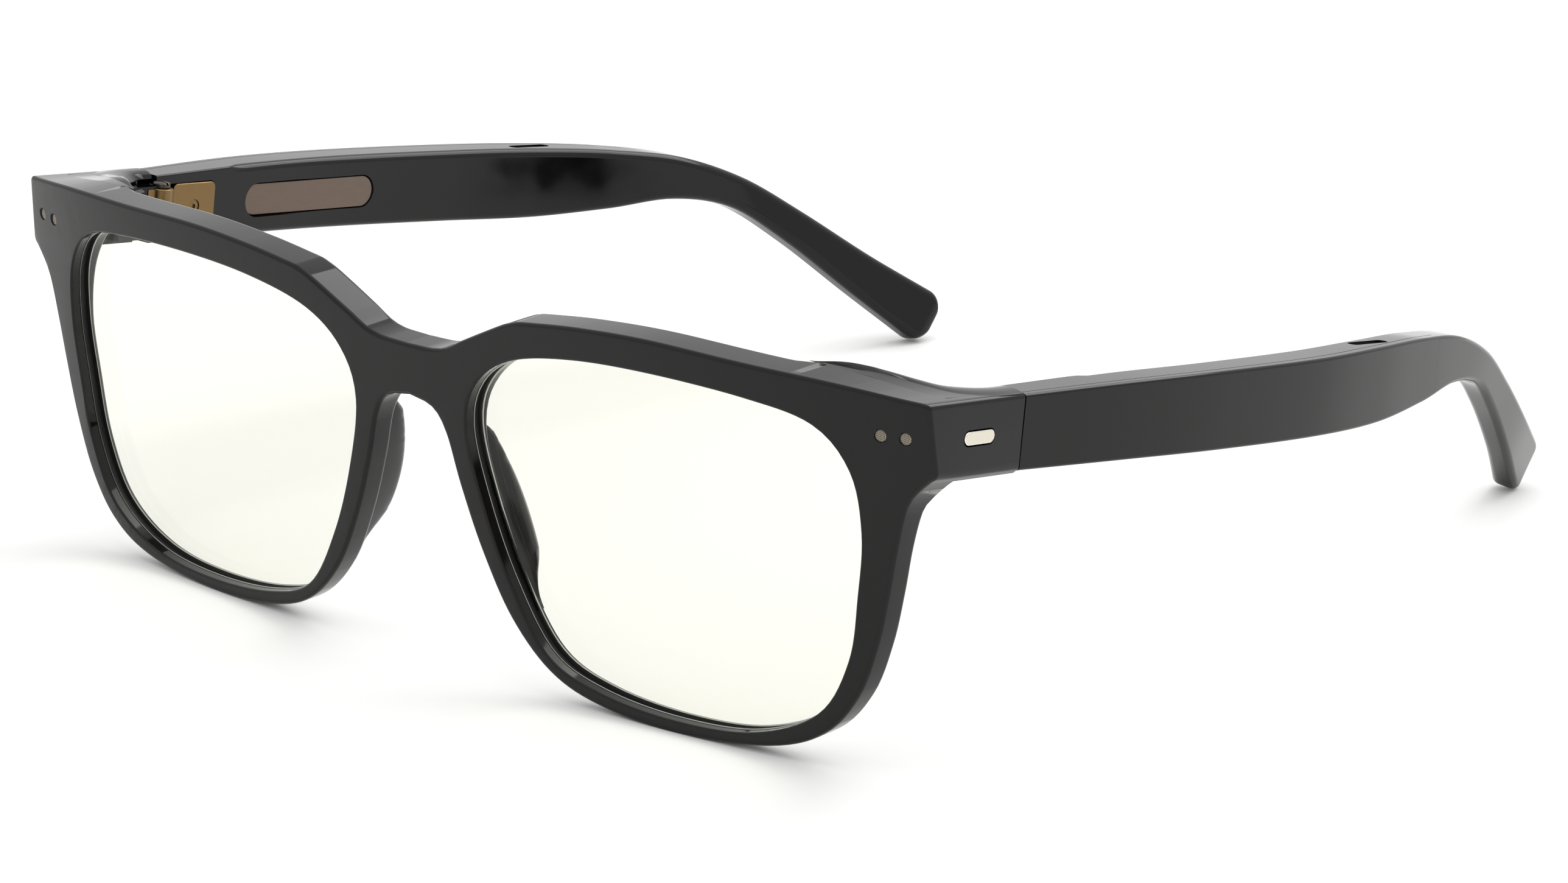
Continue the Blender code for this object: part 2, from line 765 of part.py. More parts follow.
def make_speaker(side):
    place = mirrored(side)

    def along_bow(depth, t, a):
        return place(cavity_x(t, depth), t, a)

    middle = SLOT_START + SLOT_LENGTH / 2
    return stadium(along_bow, (middle, -0.15), 5.4, 2.6, ((2.1, 0.0), (0.4, 0.0)), 0)


def make_grille(side, up):
    place = mirrored(side)
    x, centre, high = slot_centre()
    half = SLOT_WIDTH / 2 - 0.2
    low, top = sorted((centre + up * (high / 2 - 0.75), centre + up * (high / 2 - 0.45)))
    return block(place, (x - half, SLOT_START + 0.2, low),
                 (x + half, SLOT_START + SLOT_LENGTH - 0.2, top))


def make_coil(side):
    """Flat charging coil: an open winding seen from the side."""
    place = mirrored(side)
    x = cavity_x(77.9, 0.9)
    outer = stadium(place, (77.9, -0.2), 3.9, 2.2, ((x - 0.3, 0.0), (x + 0.3, 0.0)), 0)
    hole = stadium(place, (77.9, -0.2), 2.5, 0.9, ((x - 1.0, 0.0), (x + 1.0, 0.0)), 0)
    return cut(outer, hole)


# Assembly


def stand(made):
    """Turns and moves every mesh so the whole stands on z = 0, centred; returns that placement."""
    turn = Matrix.Scale(0.001, 4) @ Matrix.Rotation(STAND_TILT, 4, "X")
    points = []
    for _, mesh, _, _ in made:
        mesh.transform(turn)
        points.extend(vert.co.copy() for vert in mesh.vertices)
    low = Vector(min(p[k] for p in points) for k in range(3))
    high = Vector(max(p[k] for p in points) for k in range(3))
    shift = Vector((-(low.x + high.x) / 2, -(low.y + high.y) / 2, -low.z - FLAT_DEPTH * 0.001))
    move = Matrix.Translation(shift)
    for _, mesh, _, _ in made:
        mesh.transform(move)
    print("size mm", [round(v * 1000, 2) for v in high - low])
    return move @ turn


def place_all(made, joints):
    """Makes the objects, each moving one with its origin on its joint."""
    placed = stand(made)
    ground = block(plain(1), (-0.1, -0.1, -0.01), (0.1, 0.1, 0.0))
    for name, mesh, finish, joint in made:
        if name in STANDING:
            mesh = cut(mesh, ground.copy())
        origin = placed @ joints[joint] if joint else Vector()
        mesh.transform(Matrix.Translation(-origin))
        mesh.materials.clear()
        mesh.materials.append(material(name, *FINISHES[finish]))
        thing = bpy.data.objects.new(name, mesh)
        thing.location = origin
        bpy.context.collection.objects.link(thing)
    axis = (placed.to_3x3() @ (on_temple(0, 0, 1) - on_temple(0, 0, 0))).normalized()
    for joint, point in joints.items():
        spot = placed @ point
        print("joint", joint, [round(v, 6) for v in spot], [round(v, 6) for v in axis])


def front_pieces(side, word):
    """The pieces that one side carries on the front."""
    pieces = [
        ("lens_" + word, make_lens(side), "lens"),
        ("endpiece_cover_" + word, make_end_cover(side), "shell"),
        ("side_badge_" + word, make_badge(side), "badge"),
        ("front_hinge_" + word, make_front_hinge(side), "hinge"),
        ("hinge_screw_" + word, make_hinge_screw(side), "screw"),
        ("cover_screw_" + word, make_cover_screw(side), "screw"),
        ("mic_board_" + word, make_mic_board(side), "board"),
        ("front_flex_" + word, make_front_flex(side), "flex"),
    ]
    for x, spot in zip(MIC_X, ("outer", "inner")):
        pieces.append((f"mic_mesh_{word}_{spot}", make_mic_mesh(side, x), "mesh"))
        pieces.append((f"mic_capsule_{word}_{spot}", make_mic_capsule(side, x), "capsule"))
    return pieces


def temple_pieces(side, word):
    """The pieces that fold with one temple."""
    pieces = [
        ("temple_body_" + word, make_temple_body(side), "shell"),
        ("temple_cover_" + word, make_temple_cover(side), "shell"),
        ("temple_hinge_" + word, make_temple_hinge(side), "hinge"),
        ("leaf_screw_" + word, make_leaf_screw(side), "hinge"),
        ("inner_plate_" + word, inner_plate_mesh(side, 0.0, 0.1), "plaque"),
        ("speaker_grille_top_" + word, make_grille(side, 1), "mesh"),
        ("speaker_grille_bottom_" + word, make_grille(side, -1), "mesh"),
        ("speaker_driver_" + word, make_speaker(side), "speaker"),
        ("battery_cell_" + word, inside(side, 35.0, 59.0, -2.9, 2.9, 0.3, 2.5), "cell"),
        ("circuit_board_" + word, inside(side, 16.5, 34.0, -0.4, 2.9, 0.3, 1.1), "board"),
        ("temple_flex_" + word, inside(side, 1.2, 15.5, -1.3, 1.3, 1.4, 1.6), "flex"),
        ("charging_coil_" + word, make_coil(side), "coil"),
    ]
    if side < 0:
        pieces.append(("button_switch", make_switch(side), "screw"))
    return pieces


def main():
    clear_scene()
    made = [("front_frame", make_front(), "shell", None)]
    joints = {}
    for side, word in ((1, "left"), (-1, "right")):
        temple = "temple_" + word
        place = mirrored(side)
        joints[temple] = place(HINGE.x, 0.0, 0.0)
        made += [(*piece, None) for piece in front_pieces(side, word)]
        made += [(*piece, temple) for piece in temple_pieces(side, word)]
    joints["button"] = place(cavity_x(BUTTON_AT, 1.45), BUTTON_AT, underside())
    made.append(("function_button", make_button(-1), "shell", "button"))
    place_all(made, joints)


main()
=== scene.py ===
# %% [markdown]
# # Smart glasses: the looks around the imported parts
#
# A pair of audio glasses: a thick glossy black front with two clear lenses, and two folding
# temples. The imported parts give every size, every hinge and every place. This script builds
# finer versions of the pieces that are seen, gives each piece its finish, and lights the whole.

# %% Load the frame
import json
import math

import bmesh
import bpy
from mathutils import Matrix, Vector


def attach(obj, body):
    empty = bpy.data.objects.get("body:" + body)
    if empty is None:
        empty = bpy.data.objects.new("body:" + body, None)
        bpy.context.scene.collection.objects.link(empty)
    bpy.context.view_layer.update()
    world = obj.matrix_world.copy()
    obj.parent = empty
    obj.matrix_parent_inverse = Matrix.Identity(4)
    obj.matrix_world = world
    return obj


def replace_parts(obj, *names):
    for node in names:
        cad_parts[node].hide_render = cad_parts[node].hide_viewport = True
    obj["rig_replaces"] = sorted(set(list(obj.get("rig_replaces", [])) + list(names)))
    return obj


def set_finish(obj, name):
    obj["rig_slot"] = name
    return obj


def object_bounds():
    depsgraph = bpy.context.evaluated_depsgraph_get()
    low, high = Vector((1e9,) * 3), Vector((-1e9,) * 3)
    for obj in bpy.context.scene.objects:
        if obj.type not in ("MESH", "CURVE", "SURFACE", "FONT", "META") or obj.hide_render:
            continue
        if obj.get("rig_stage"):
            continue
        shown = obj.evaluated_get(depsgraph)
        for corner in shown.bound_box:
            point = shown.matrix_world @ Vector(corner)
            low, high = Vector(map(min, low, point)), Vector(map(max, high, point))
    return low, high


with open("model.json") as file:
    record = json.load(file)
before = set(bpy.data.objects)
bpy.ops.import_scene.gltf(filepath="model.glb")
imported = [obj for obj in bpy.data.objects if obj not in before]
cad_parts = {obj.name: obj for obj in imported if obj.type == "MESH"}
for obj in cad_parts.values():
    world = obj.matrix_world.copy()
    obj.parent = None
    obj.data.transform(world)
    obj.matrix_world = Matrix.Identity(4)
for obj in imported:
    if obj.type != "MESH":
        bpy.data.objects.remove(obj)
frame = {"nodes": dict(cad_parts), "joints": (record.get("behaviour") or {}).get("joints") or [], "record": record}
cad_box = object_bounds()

# %% [markdown]
# ## The drawing frame
#
# Glasses are drawn in millimetres from the top corners of the front, with x across, y back
# along the temples and z up. They then lean back a little to stand on their rims and tips.
# The hinge axis is known in both frames, so it tells how far to lean and where to put them.

# %% Driving sizes of the front
HALF_WIDTH = 72.5
CURVE_2 = 7.6e-4
CURVE_4 = 1.44e-7
LEAN = -0.051
BAR_DEPTH = 5.2
RIM_DEPTH = 3.6
FRONT_EDGE = 0.5
BACK_EDGE = 0.9
LENS_THICK = 1.5
LENS_SET = 1.4
LENS_BITE = 0.6
GAP = 0.25

print("front", 2 * HALF_WIDTH, "mm wide at its corners,", BAR_DEPTH, "mm deep at the bar")

# %% Driving sizes of the ends, the hinges and the temples
END_SWEEP = 0.158
END_TUCK = 0.0625
END_INNER = 70.9
END_BOTTOM = -9.2
END_SCREW = (62.2, -2.6)
HINGE = Vector((66.4, 15.5, -6.95))
TEMPLE_SLOPE = math.radians(9.0)
PARTING = 0.2
COVER_THICK = 1.2
COVER_END = 84.0
WALL = 1.2
CAVITY = (14.0, 82.3)
BARREL = 1.5
PIN_BORE = 0.68
MIDDLE = 2.2
SLOT = (64.4, 7.0, 1.5)
MIC_X = (69.7, 66.7)
MIC_Z = -4.3
MIC_R = 0.72
BUTTON_AT = 22.0
TIP_REACH = 2.4

print("hinge at", tuple(round(v, 2) for v in HINGE), "mm, temples sloping",
      round(math.degrees(TEMPLE_SLOPE), 1), "degrees")

# %% [markdown]
# ## Outlines
#
# A moulded front is one outline drawn by hand, so a few points and a smooth curve through
# them are enough. The spine of a temple is a short list of sections: how far along, where the
# outer face is, the height of its centre, and the section's height and width.

# %% Outlines of the front and the spine of a temple
TOP_EDGE = (
    (0.0, -5.4), (4.2, -5.25), (6.6, -4.65), (8.6, -3.6), (13.4, -1.25), (15.9, -0.1),
    (17.4, 0.42), (19.4, 0.75), (27.0, 1.55), (37.0, 1.95), (50.0, 1.5), (62.0, 0.95), (72.5, 0.0),
)
LOWER_EDGE = (
    (73.0, -8.3), (71.3, -9.7), (69.4, -12.2), (68.0, -17.4), (66.8, -23.0), (65.2, -29.2),
    (62.6, -35.6), (58.2, -40.7), (51.0, -43.6), (38.0, -44.8), (27.0, -43.9), (19.8, -41.4),
    (14.2, -36.0), (10.2, -28.6), (7.4, -21.2), (5.6, -15.2), (3.6, -12.5), (0.0, -11.7),
)
LENS_EDGE = (
    (37.5, -2.0), (50.0, -2.6), (58.5, -4.3), (62.8, -9.0), (63.9, -16.0), (63.1, -23.5),
    (61.6, -31.5), (57.5, -38.4), (49.0, -42.3), (38.0, -43.2), (27.0, -42.2), (19.5, -39.3),
    (14.5, -31.8), (11.0, -23.0), (9.0, -14.0), (11.0, -8.2), (16.5, -4.4), (26.0, -2.5),
)
SPINE = (
    (0.0, 72.5, 0.0, 8.6, 4.95),
    (18.1, 74.1, 0.2, 9.0, 5.6),
    (33.7, 74.6, 0.1, 9.2, 5.6),
    (53.3, 73.8, -0.15, 9.3, 5.6),
    (67.7, 71.7, -0.25, 9.2, 5.3),
    (80.0, 69.0, -0.05, 8.0, 5.0),
    (90.7, 66.3, -0.1, 5.9, 4.6),
    (100.6, 63.5, -2.3, 4.5, 4.1),
    (109.5, 60.3, -7.0, 4.8, 3.8),
    (120.4, 56.1, -13.9, 6.0, 3.6),
    (128.6, 52.4, -19.0, 7.2, 3.6),
    (130.4, 51.5, -20.15, 7.5, 3.6),
)

print("points:", len(TOP_EDGE), "top,", len(LOWER_EDGE), "lower,", len(LENS_EDGE), "lens;",
      len(SPINE), "temple sections")

# %% Smooth curves through few points
def spline(points, step, closed=False):
    """Points about `step` apart on a Catmull-Rom curve through the given points."""
    count = len(points)
    result = []
    for i in range(count if closed else count - 1):
        if closed:
            a, b, c, d = (Vector(points[(i + k) % count]) for k in (-1, 0, 1, 2))
        else:
            b, c = Vector(points[i]), Vector(points[i + 1])
            a = Vector(points[i - 1]) if i else 2 * b - c
            d = Vector(points[i + 2]) if i + 2 < count else 2 * c - b
        pieces = max(1, round((c - b).length / step))
        for k in range(pieces):
            u = k / pieces
            result.append(0.5 * (2 * b + (c - a) * u + (2 * a - 5 * b + 4 * c - d) * u**2
                                 + (3 * b - a - 3 * c + d) * u**3))
    if not closed:
        result.append(Vector(points[-1]))
    return result


def offset(loop, amounts):
    """The closed clockwise loop moved outwards, by one amount or by one for each point."""
    if not hasattr(amounts, "__len__"):
        amounts = [amounts] * len(loop)
    moved = []
    for i, here in enumerate(loop):
        along = (loop[(i + 1) % len(loop)] - loop[i - 1]).normalized()
        moved.append(here + amounts[i] * Vector((-along.y, along.x)))
    return moved


def rounded_corner(before, corner, after, reach, count=5):
    """A soft corner that starts and ends `reach` away from the sharp one."""
    start = corner + (before - corner).normalized() * reach
    end = corner + (after - corner).normalized() * reach
    curve = []
    for k in range(count + 1):
        u = k / count
        curve.append((1 - u)**2 * start + 2 * u * (1 - u) * corner + u * u * end)
    return curve


def spine_at(t):
    """Outer face, centre height, section height and width at a distance along the temple."""
    if t <= SPINE[0][0]:
        return SPINE[0][1:]
    index = max(i for i in range(len(SPINE) - 1) if SPINE[i][0] <= t)
    p1, p2 = SPINE[index], SPINE[index + 1]
    p0, p3 = SPINE[max(index - 1, 0)], SPINE[min(index + 2, len(SPINE) - 1)]
    span = p2[0] - p1[0]
    u = min((t - p1[0]) / span, 1.0)
    values = []
    for k in range(1, 5):
        m1 = (p2[k] - p0[k]) / (p2[0] - p0[0]) * span
        m2 = (p3[k] - p1[k]) / (p3[0] - p1[0]) * span
        values.append((2 * u**3 - 3 * u**2 + 1) * p1[k] + (u**3 - 2 * u**2 + u) * m1
                      + (3 * u**2 - 2 * u**3) * p2[k] + (u**3 - u**2) * m2)
    return values


print("lens edge has", len(spline(LENS_EDGE, 1.0, closed=True)), "points at 1 mm")

# %% The front's curve and the temple's own directions
def smoothstep(low, high, value):
    u = min(max((value - low) / (high - low), 0.0), 1.0)
    return u * u * (3 - 2 * u)


def front_y(x, z):
    """Depth of the front face."""
    x = abs(x)
    return CURVE_2 * (x**2 - HALF_WIDTH**2) + CURVE_4 * (x**4 - HALF_WIDTH**4) + LEAN * z


def thickness(z):
    return BAR_DEPTH + (RIM_DEPTH - BAR_DEPTH) * smoothstep(0.0, 18.0, -z)


def bent(x, depth, z):
    """A point of the flat front, `depth` behind its face, carried to the curved front."""
    end = smoothstep(56.0, 70.0, abs(x))
    tuck = END_TUCK * depth * max(abs(x) - HALF_WIDTH, 0.0)
    return Vector((x - math.copysign(tuck, x), front_y(x, z) + depth, z - END_SWEEP * depth * end))


def end_depth(x, z, t):
    """How far behind the front face the plane across the temple at distance t lies."""
    slope = math.tan(TEMPLE_SLOPE)
    y = HINGE.y + t / math.cos(TEMPLE_SLOPE) + (z - HINGE.z) * slope
    return (y - front_y(x, z)) / (1 + END_SWEEP * slope)


def on_temple(x, t, a):
    """A point in the temple frame: across, along the temple and up the hinge axis."""
    c, s = math.cos(TEMPLE_SLOPE), math.sin(TEMPLE_SLOPE)
    return Vector((x, HINGE.y + t * c + a * s, HINGE.z - t * s + a * c))


def temple_frame(side):
    def place(x, t, a):
        point = on_temple(x, t, a)
        return Vector((side * point.x, point.y, point.z))

    return place


def front_frame_of(side):
    def place(x, y, z):
        return Vector((side * x, y, z))

    return place


print("bridge stands", round(front_y(HALF_WIDTH, 0.0) - front_y(0.0, 0.0), 1),
      "mm ahead of the corners")

# %% From the drawing to the row frame
fold = next(joint for joint in frame["joints"] if joint["name"] == "fold_left")
lean_back = TEMPLE_SLOPE - math.atan2(fold["axis"][1], fold["axis"][2])
turn = Matrix.Scale(0.001, 4) @ Matrix.Rotation(lean_back, 4, "X")
PLACE = Matrix.Translation(Vector(fold["pos_m"]) - turn @ HINGE) @ turn
SIDES = ((1, "left"), (-1, "right"))
print("leans back", round(math.degrees(lean_back), 2), "degrees, hinge at", PLACE @ HINGE)

# %% [markdown]
# ## Mesh helpers
#
# Most pieces are lofts: a row of rings with the same number of points, joined by faces. Pockets
# and holes are cut with Boolean modifiers, which keeps each cut a piece of real geometry.

# %% Lofts, blocks and turned bodies
def mesh_of(bm):
    bmesh.ops.recalc_face_normals(bm, faces=bm.faces)
    mesh = bpy.data.meshes.new("piece")
    bm.to_mesh(mesh)
    bm.free()
    return mesh


def skin(bm, rings):
    for low, high in zip(rings, rings[1:]):
        for i in range(len(low)):
            j = (i + 1) % len(low)
            bm.faces.new((low[i], low[j], high[j], high[i]))


def loft(rings):
    """A closed body through rings of equal count, with flat ends."""
    bm = bmesh.new()
    rows = [[bm.verts.new(point) for point in ring] for ring in rings]
    skin(bm, rows)
    bm.faces.new(rows[0])
    bm.faces.new(list(reversed(rows[-1])))
    return mesh_of(bm)


def block(place, low, high):
    corners = ((low[0], low[1]), (high[0], low[1]), (high[0], high[1]), (low[0], high[1]))
    return loft([[place(x, y, z) for x, y in corners] for z in (low[2], high[2])])


def turned(place, centre, steps, axis, count=40):
    """A turned body: steps are (level, radius) along one axis of the frame."""
    others = [i for i in range(3) if i != axis]
    rings = []
    for level, radius in steps:
        ring = []
        for k in range(count):
            angle = math.tau * k / count
            point = [0.0, 0.0, 0.0]
            point[axis] = level
            point[others[0]] = centre[0] + radius * math.cos(angle)
            point[others[1]] = centre[1] + radius * math.sin(angle)
            ring.append(place(*point))
        rings.append(ring)
    return loft(rings)


def pill(place, centre, half, radius, levels, axis, count=14):
    """A body with round ends, long along the first of its two directions."""
    rings = []
    for level, grow in levels:
        ring = []
        for side, start in ((1, -90), (-1, 90)):
            for k in range(count + 1):
                angle = math.radians(start + 180 * k / count)
                u = centre[0] + side * (half - radius) + (radius + grow) * math.cos(angle)
                v = centre[1] + (radius + grow) * math.sin(angle)
                point = [u, v]
                point.insert(axis, level)
                ring.append(place(*point))
        rings.append(ring)
    return loft(rings)


def plate(place, low, high, levels, radius, axis=0, count=6):
    """A flat plate with round corners; levels are (level, inset) along the axis."""
    rings = []
    for level, inset in levels:
        ring = []
        corners = ((high[0], high[1], 0), (low[0], high[1], 90), (low[0], low[1], 180),
                   (high[0], low[1], 270))
        for cx, cy, first in corners:
            sx = 1 if cx == high[0] else -1
            sy = 1 if cy == high[1] else -1
            for k in range(count + 1):
                angle = math.radians(first + 90 * k / count)
                point = [cx - sx * radius + (radius - inset) * math.cos(angle),
                         cy - sy * radius + (radius - inset) * math.sin(angle)]
                point.insert(axis, level)
                ring.append(place(*point))
        rings.append(ring)
    return loft(rings)


# %% Cutting and joining
def combine(mesh, others, operation):
    target = bpy.data.objects.new("target", mesh)
    bpy.context.collection.objects.link(target)
    helpers = []
    for other in others:
        helper = bpy.data.objects.new("helper", other)
        bpy.context.collection.objects.link(helper)
        modifier = target.modifiers.new("combine", "BOOLEAN")
        modifier.solver = "EXACT"
        modifier.operation = operation
        modifier.object = helper
        helpers.append(helper)
    bpy.context.view_layer.update()
    graph = bpy.context.evaluated_depsgraph_get()
    result = bpy.data.meshes.new_from_object(target.evaluated_get(graph))
    for helper in [*helpers, target]:
        bpy.data.objects.remove(helper, do_unlink=True)
    return result


def cut(mesh, *others):
    return combine(mesh, others, "DIFFERENCE")


def join(mesh, *others):
    return combine(mesh, others, "UNION")


def common(mesh, other):
    return combine(mesh, [other], "INTERSECT")


# %% [markdown]
# ## Placing a finished piece
#
# A visible piece is carried from the drawing to the row frame, rides on its body and stands for
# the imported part. Weighted normals keep large faces flat and let only the small roundings turn,
# which is what makes a gloss black edge read as one thin highlight.

# %% Placing a piece
made_pieces = {}


def piece(name, mesh, body, node, slot, crease=38.0):
    mesh.transform(PLACE)
    thing = bpy.data.objects.new(name, mesh)
    bpy.context.collection.objects.link(thing)
    mesh.shade_smooth()
    mesh.set_sharp_from_angle(angle=math.radians(crease))
    weighted = thing.modifiers.new("even_normals", "WEIGHTED_NORMAL")
    weighted.keep_sharp = True
    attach(thing, body)
    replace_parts(thing, node)
    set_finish(thing, slot)
    made_pieces[name] = thing
    return thing


def on_the_ground(mesh):
    """The piece with what would lie under the table cut away, as the small resting flats are."""
    back = PLACE.inverted()
    corners = front_frame_of(1)
    slab = block(corners, (-0.2, -0.2, -0.02), (0.2, 0.2, 0.0))
    slab.transform(back)
    return cut(mesh, slab)


# %% [markdown]
# ## The front
#
# The real front is one injection moulding in polished black nylon. It starts flat: an outline,
# two lens openings with their grooves, and arcs for its edges. It is then bent to the curve of
# a face. Extra cuts every few millimetres let the wide faces follow that curve.

# %% Outline of the front
def half_outline(step):
    top = spline(TOP_EDGE, step)
    lower = spline(LOWER_EDGE, step)
    upper_corner = rounded_corner(top[-2], top[-1], lower[0], 0.75)
    lower_corner = rounded_corner(top[-1], lower[0], lower[2], 0.6)
    gap = lower_corner[0] - upper_corner[-1]
    wall = [upper_corner[-1] + gap * k / 7 for k in range(1, 7)]
    keep = [p for p in top[:-1] if (p - top[-1]).length > 1.0]
    rest = [p for p in lower[1:] if (p - lower[0]).length > 0.9]
    return keep + upper_corner + wall + lower_corner + rest


def whole_outline(step):
    right = half_outline(step)
    left = [Vector((-p.x, p.y)) for p in reversed(right[1:-1])]
    return right + left


def lens_loop(step, side, grow=0.0):
    loop = spline(LENS_EDGE, step, closed=True)
    if side < 0:
        loop = [Vector((-p.x, p.y)) for p in reversed(loop)]
    return offset(loop, grow) if grow else loop


print("front outline has", len(whole_outline(2.0)), "points at 2 mm")

# %% Rings of the front and its two ends
def add_ring(bm, loop, depth):
    depths = depth if hasattr(depth, "__len__") else [depth] * len(loop)
    return [bm.verts.new((p.x, d, p.y)) for p, d in zip(loop, depths)]


def edges_of(ring):
    edges = []
    for a, b in zip(ring, ring[1:] + ring[:1]):
        edges.append(next(e for e in a.link_edges if e.other_vert(a) is b))
    return edges


def back_radius(p):
    """The rounding of the back edge; it dies out where a rear cover or a temple follows."""
    end = smoothstep(65.0, 68.5, abs(p.x)) * smoothstep(-13.0, -10.5, p.y)
    cover = smoothstep(53.0, 56.0, abs(p.x)) * smoothstep(-6.0, -3.0, p.y)
    return BACK_EDGE * (1.0 - max(end, cover))


def rim_rings(bm):
    outline = whole_outline(1.1)
    rings = []
    for k in range(5):
        angle = math.radians(90 * k / 4)
        inset = -FRONT_EDGE * (1 - math.sin(angle))
        rings.append(add_ring(bm, offset(outline, inset), FRONT_EDGE * (1 - math.cos(angle))))
    for k in range(6):
        angle = math.radians(90 * k / 5)
        insets = [-back_radius(p) * (1 - math.cos(angle)) for p in outline]
        depths = [thickness(p.y) - back_radius(p) * (1 - math.sin(angle)) for p in outline]
        rings.append(add_ring(bm, offset(outline, insets), depths))
    return rings


def opening_rings(bm, side):
    lip, groove = 0.3, LENS_BITE + GAP
    low, high = LENS_SET - 0.05, LENS_SET + LENS_THICK + 0.05
    loop = lens_loop(1.2, side)
    rings = []
    for k in range(4):
        angle = math.radians(90 * k / 3)
        rings.append(add_ring(bm, offset(loop, lip * (1 - math.sin(angle))),
                              lip * (1 - math.cos(angle))))
    rings.append(add_ring(bm, loop, low))
    rings.append(add_ring(bm, offset(loop, groove), low))
    rings.append(add_ring(bm, offset(loop, groove), high))
    rings.append(add_ring(bm, loop, high))
    for k in range(5):
        angle = math.radians(90 * k / 4)
        depths = [thickness(p.y) - 0.6 * (1 - math.sin(angle)) for p in loop]
        rings.append(add_ring(bm, offset(loop, 0.6 * (1 - math.cos(angle))), depths))
    return rings


def grow_end(bm, side):
    """Carries the back of one end on to the parting with the temple."""
    geom = bm.verts[:] + bm.edges[:] + bm.faces[:]
    bmesh.ops.bisect_plane(bm, geom=geom, plane_co=(side * END_INNER, 0, 0), plane_no=(1, 0, 0))
    outer = [f for f in bm.faces if side * f.calc_center_median().x > END_INNER]
    edges = {e for f in outer for e in f.edges}
    verts = {v for f in outer for v in f.verts}
    bmesh.ops.bisect_plane(bm, geom=[*verts, *edges, *outer],
                           plane_co=(0, 0, END_BOTTOM), plane_no=(0, 0, 1))
    bm.normal_update()
    back = []
    for face in bm.faces:
        middle = face.calc_center_median()
        if side * middle.x > END_INNER and middle.z > END_BOTTOM and face.normal.y > 0.9:
            back.append(face)
    grown = bmesh.ops.extrude_face_region(bm, geom=back)["geom"]
    bmesh.ops.delete(bm, geom=back, context="FACES_ONLY")
    for vert in grown:
        if isinstance(vert, bmesh.types.BMVert):
            vert.co.y = end_depth(vert.co.x, vert.co.z, 0.0)


def cut_across(bm, stations):
    for x in stations:
        geom = bm.verts[:] + bm.edges[:] + bm.faces[:]
        bmesh.ops.bisect_plane(bm, geom=geom, plane_co=(x, 0, 0), plane_no=(1, 0, 0))


def front_slab():
    bm = bmesh.new()
    rings = rim_rings(bm)
    skin(bm, rings)
    ends = [[rings[0]], [rings[-1]]]
    for side in (1, -1):
        rings = opening_rings(bm, side)
        skin(bm, rings)
        ends[0].append(rings[0])
        ends[1].append(rings[-1])
    for group in ends:
        edges = [edge for ring in group for edge in edges_of(ring)]
        bmesh.ops.triangle_fill(bm, use_beauty=True, use_dissolve=False, edges=edges)
    bmesh.ops.remove_doubles(bm, verts=bm.verts[:], dist=0.002)
    bmesh.ops.recalc_face_normals(bm, faces=bm.faces)
    cut_across(bm, [3.0 * k + 0.013 for k in range(-23, 24)])
    for side in (1, -1):
        grow_end(bm, side)
    for vert in bm.verts:
        vert.co = bent(*vert.co)
    return mesh_of(bm)


# %% [markdown]
# ## Nose pads, microphone holes and badge seats
#
# The pads are moulded with the rims. Each is a row of smooth sections that swells and dies away
# along the rim. The microphone holes and the seat of each side badge are shallow cuts with a
# tiny chamfer, so that their edges catch the light.

# %% Nose pads
PAD_LINE = ((5.4, -13.6), (7.3, -20.6), (10.2, -28.4), (14.4, -36.2))


def nose_pad(side):
    rings = []
    spots = spline(PAD_LINE, 0.7)
    for i, spot in enumerate(spots):
        u = i / (len(spots) - 1)
        reach = 4.0 * math.sin(math.pi * (0.05 + 0.9 * u)) ** 0.8
        thick = 1.8 + 0.7 * math.sin(math.pi * u)
        along = (spots[min(i + 1, len(spots) - 1)] - spots[max(i - 1, 0)]).normalized()
        out = Vector((-along.y, along.x))
        back = front_y(spot.x, spot.y) + thickness(spot.y)
        low = 0.05 * reach
        fade = smoothstep(0.0, 0.12, u) * smoothstep(0.0, 0.3, 1 - u)
        section = ((0.3, -0.9), (0.32, 0.0), (low + 0.3, 0.55 * reach), (low + 0.55, 0.86 * reach),
                   (low + 1.1, reach), (low + 1.75, 0.93 * reach), (low + thick, 0.6 * reach),
                   (thick + 0.15, 0.0), (thick + 0.2, -0.9))
        curve = spline(section, 0.35)
        count = 30
        ring = []
        for k in range(count):
            n, d = curve[round(k * (len(curve) - 1) / (count - 1))]
            depth = back + (d * fade if d > 0 else d)
            ring.append(Vector((side * (spot.x + n * out.x), depth, spot.y + n * out.y)))
        rings.append(ring)
    return loft(rings)


# %% Frames at the microphones and at the badge
def mic_frame(side):
    """A frame on the front face at the microphones: along the face, into it, and up."""
    x = sum(MIC_X) / 2
    slope = front_y(x + 0.5, MIC_Z) - front_y(x - 0.5, MIC_Z)
    along = Vector((1, slope, 0)).normalized()
    into = Vector((-slope, 1, 0)).normalized()
    origin = Vector((x, front_y(x, MIC_Z), MIC_Z))

    def place(u, depth, z):
        point = origin + along * u + into * depth + Vector((0, 0, z))
        return Vector((side * point.x, point.y, point.z))

    return place


def badge_frame(side):
    """A frame on an end's outer face: into it, along it and up it."""
    origin = Vector((HALF_WIDTH + 0.13, 8.2, -5.6))
    along = Vector((-0.016, 1.0, -END_SWEEP)).normalized()
    into = Vector((-1.0, -0.016, 0.0)).normalized()
    up = along.cross(into).normalized()
    up = up if up.z > 0 else -up

    def place(depth, u, v):
        point = origin + into * depth + along * u + up * v
        return Vector((side * point.x, point.y, point.z))

    return place


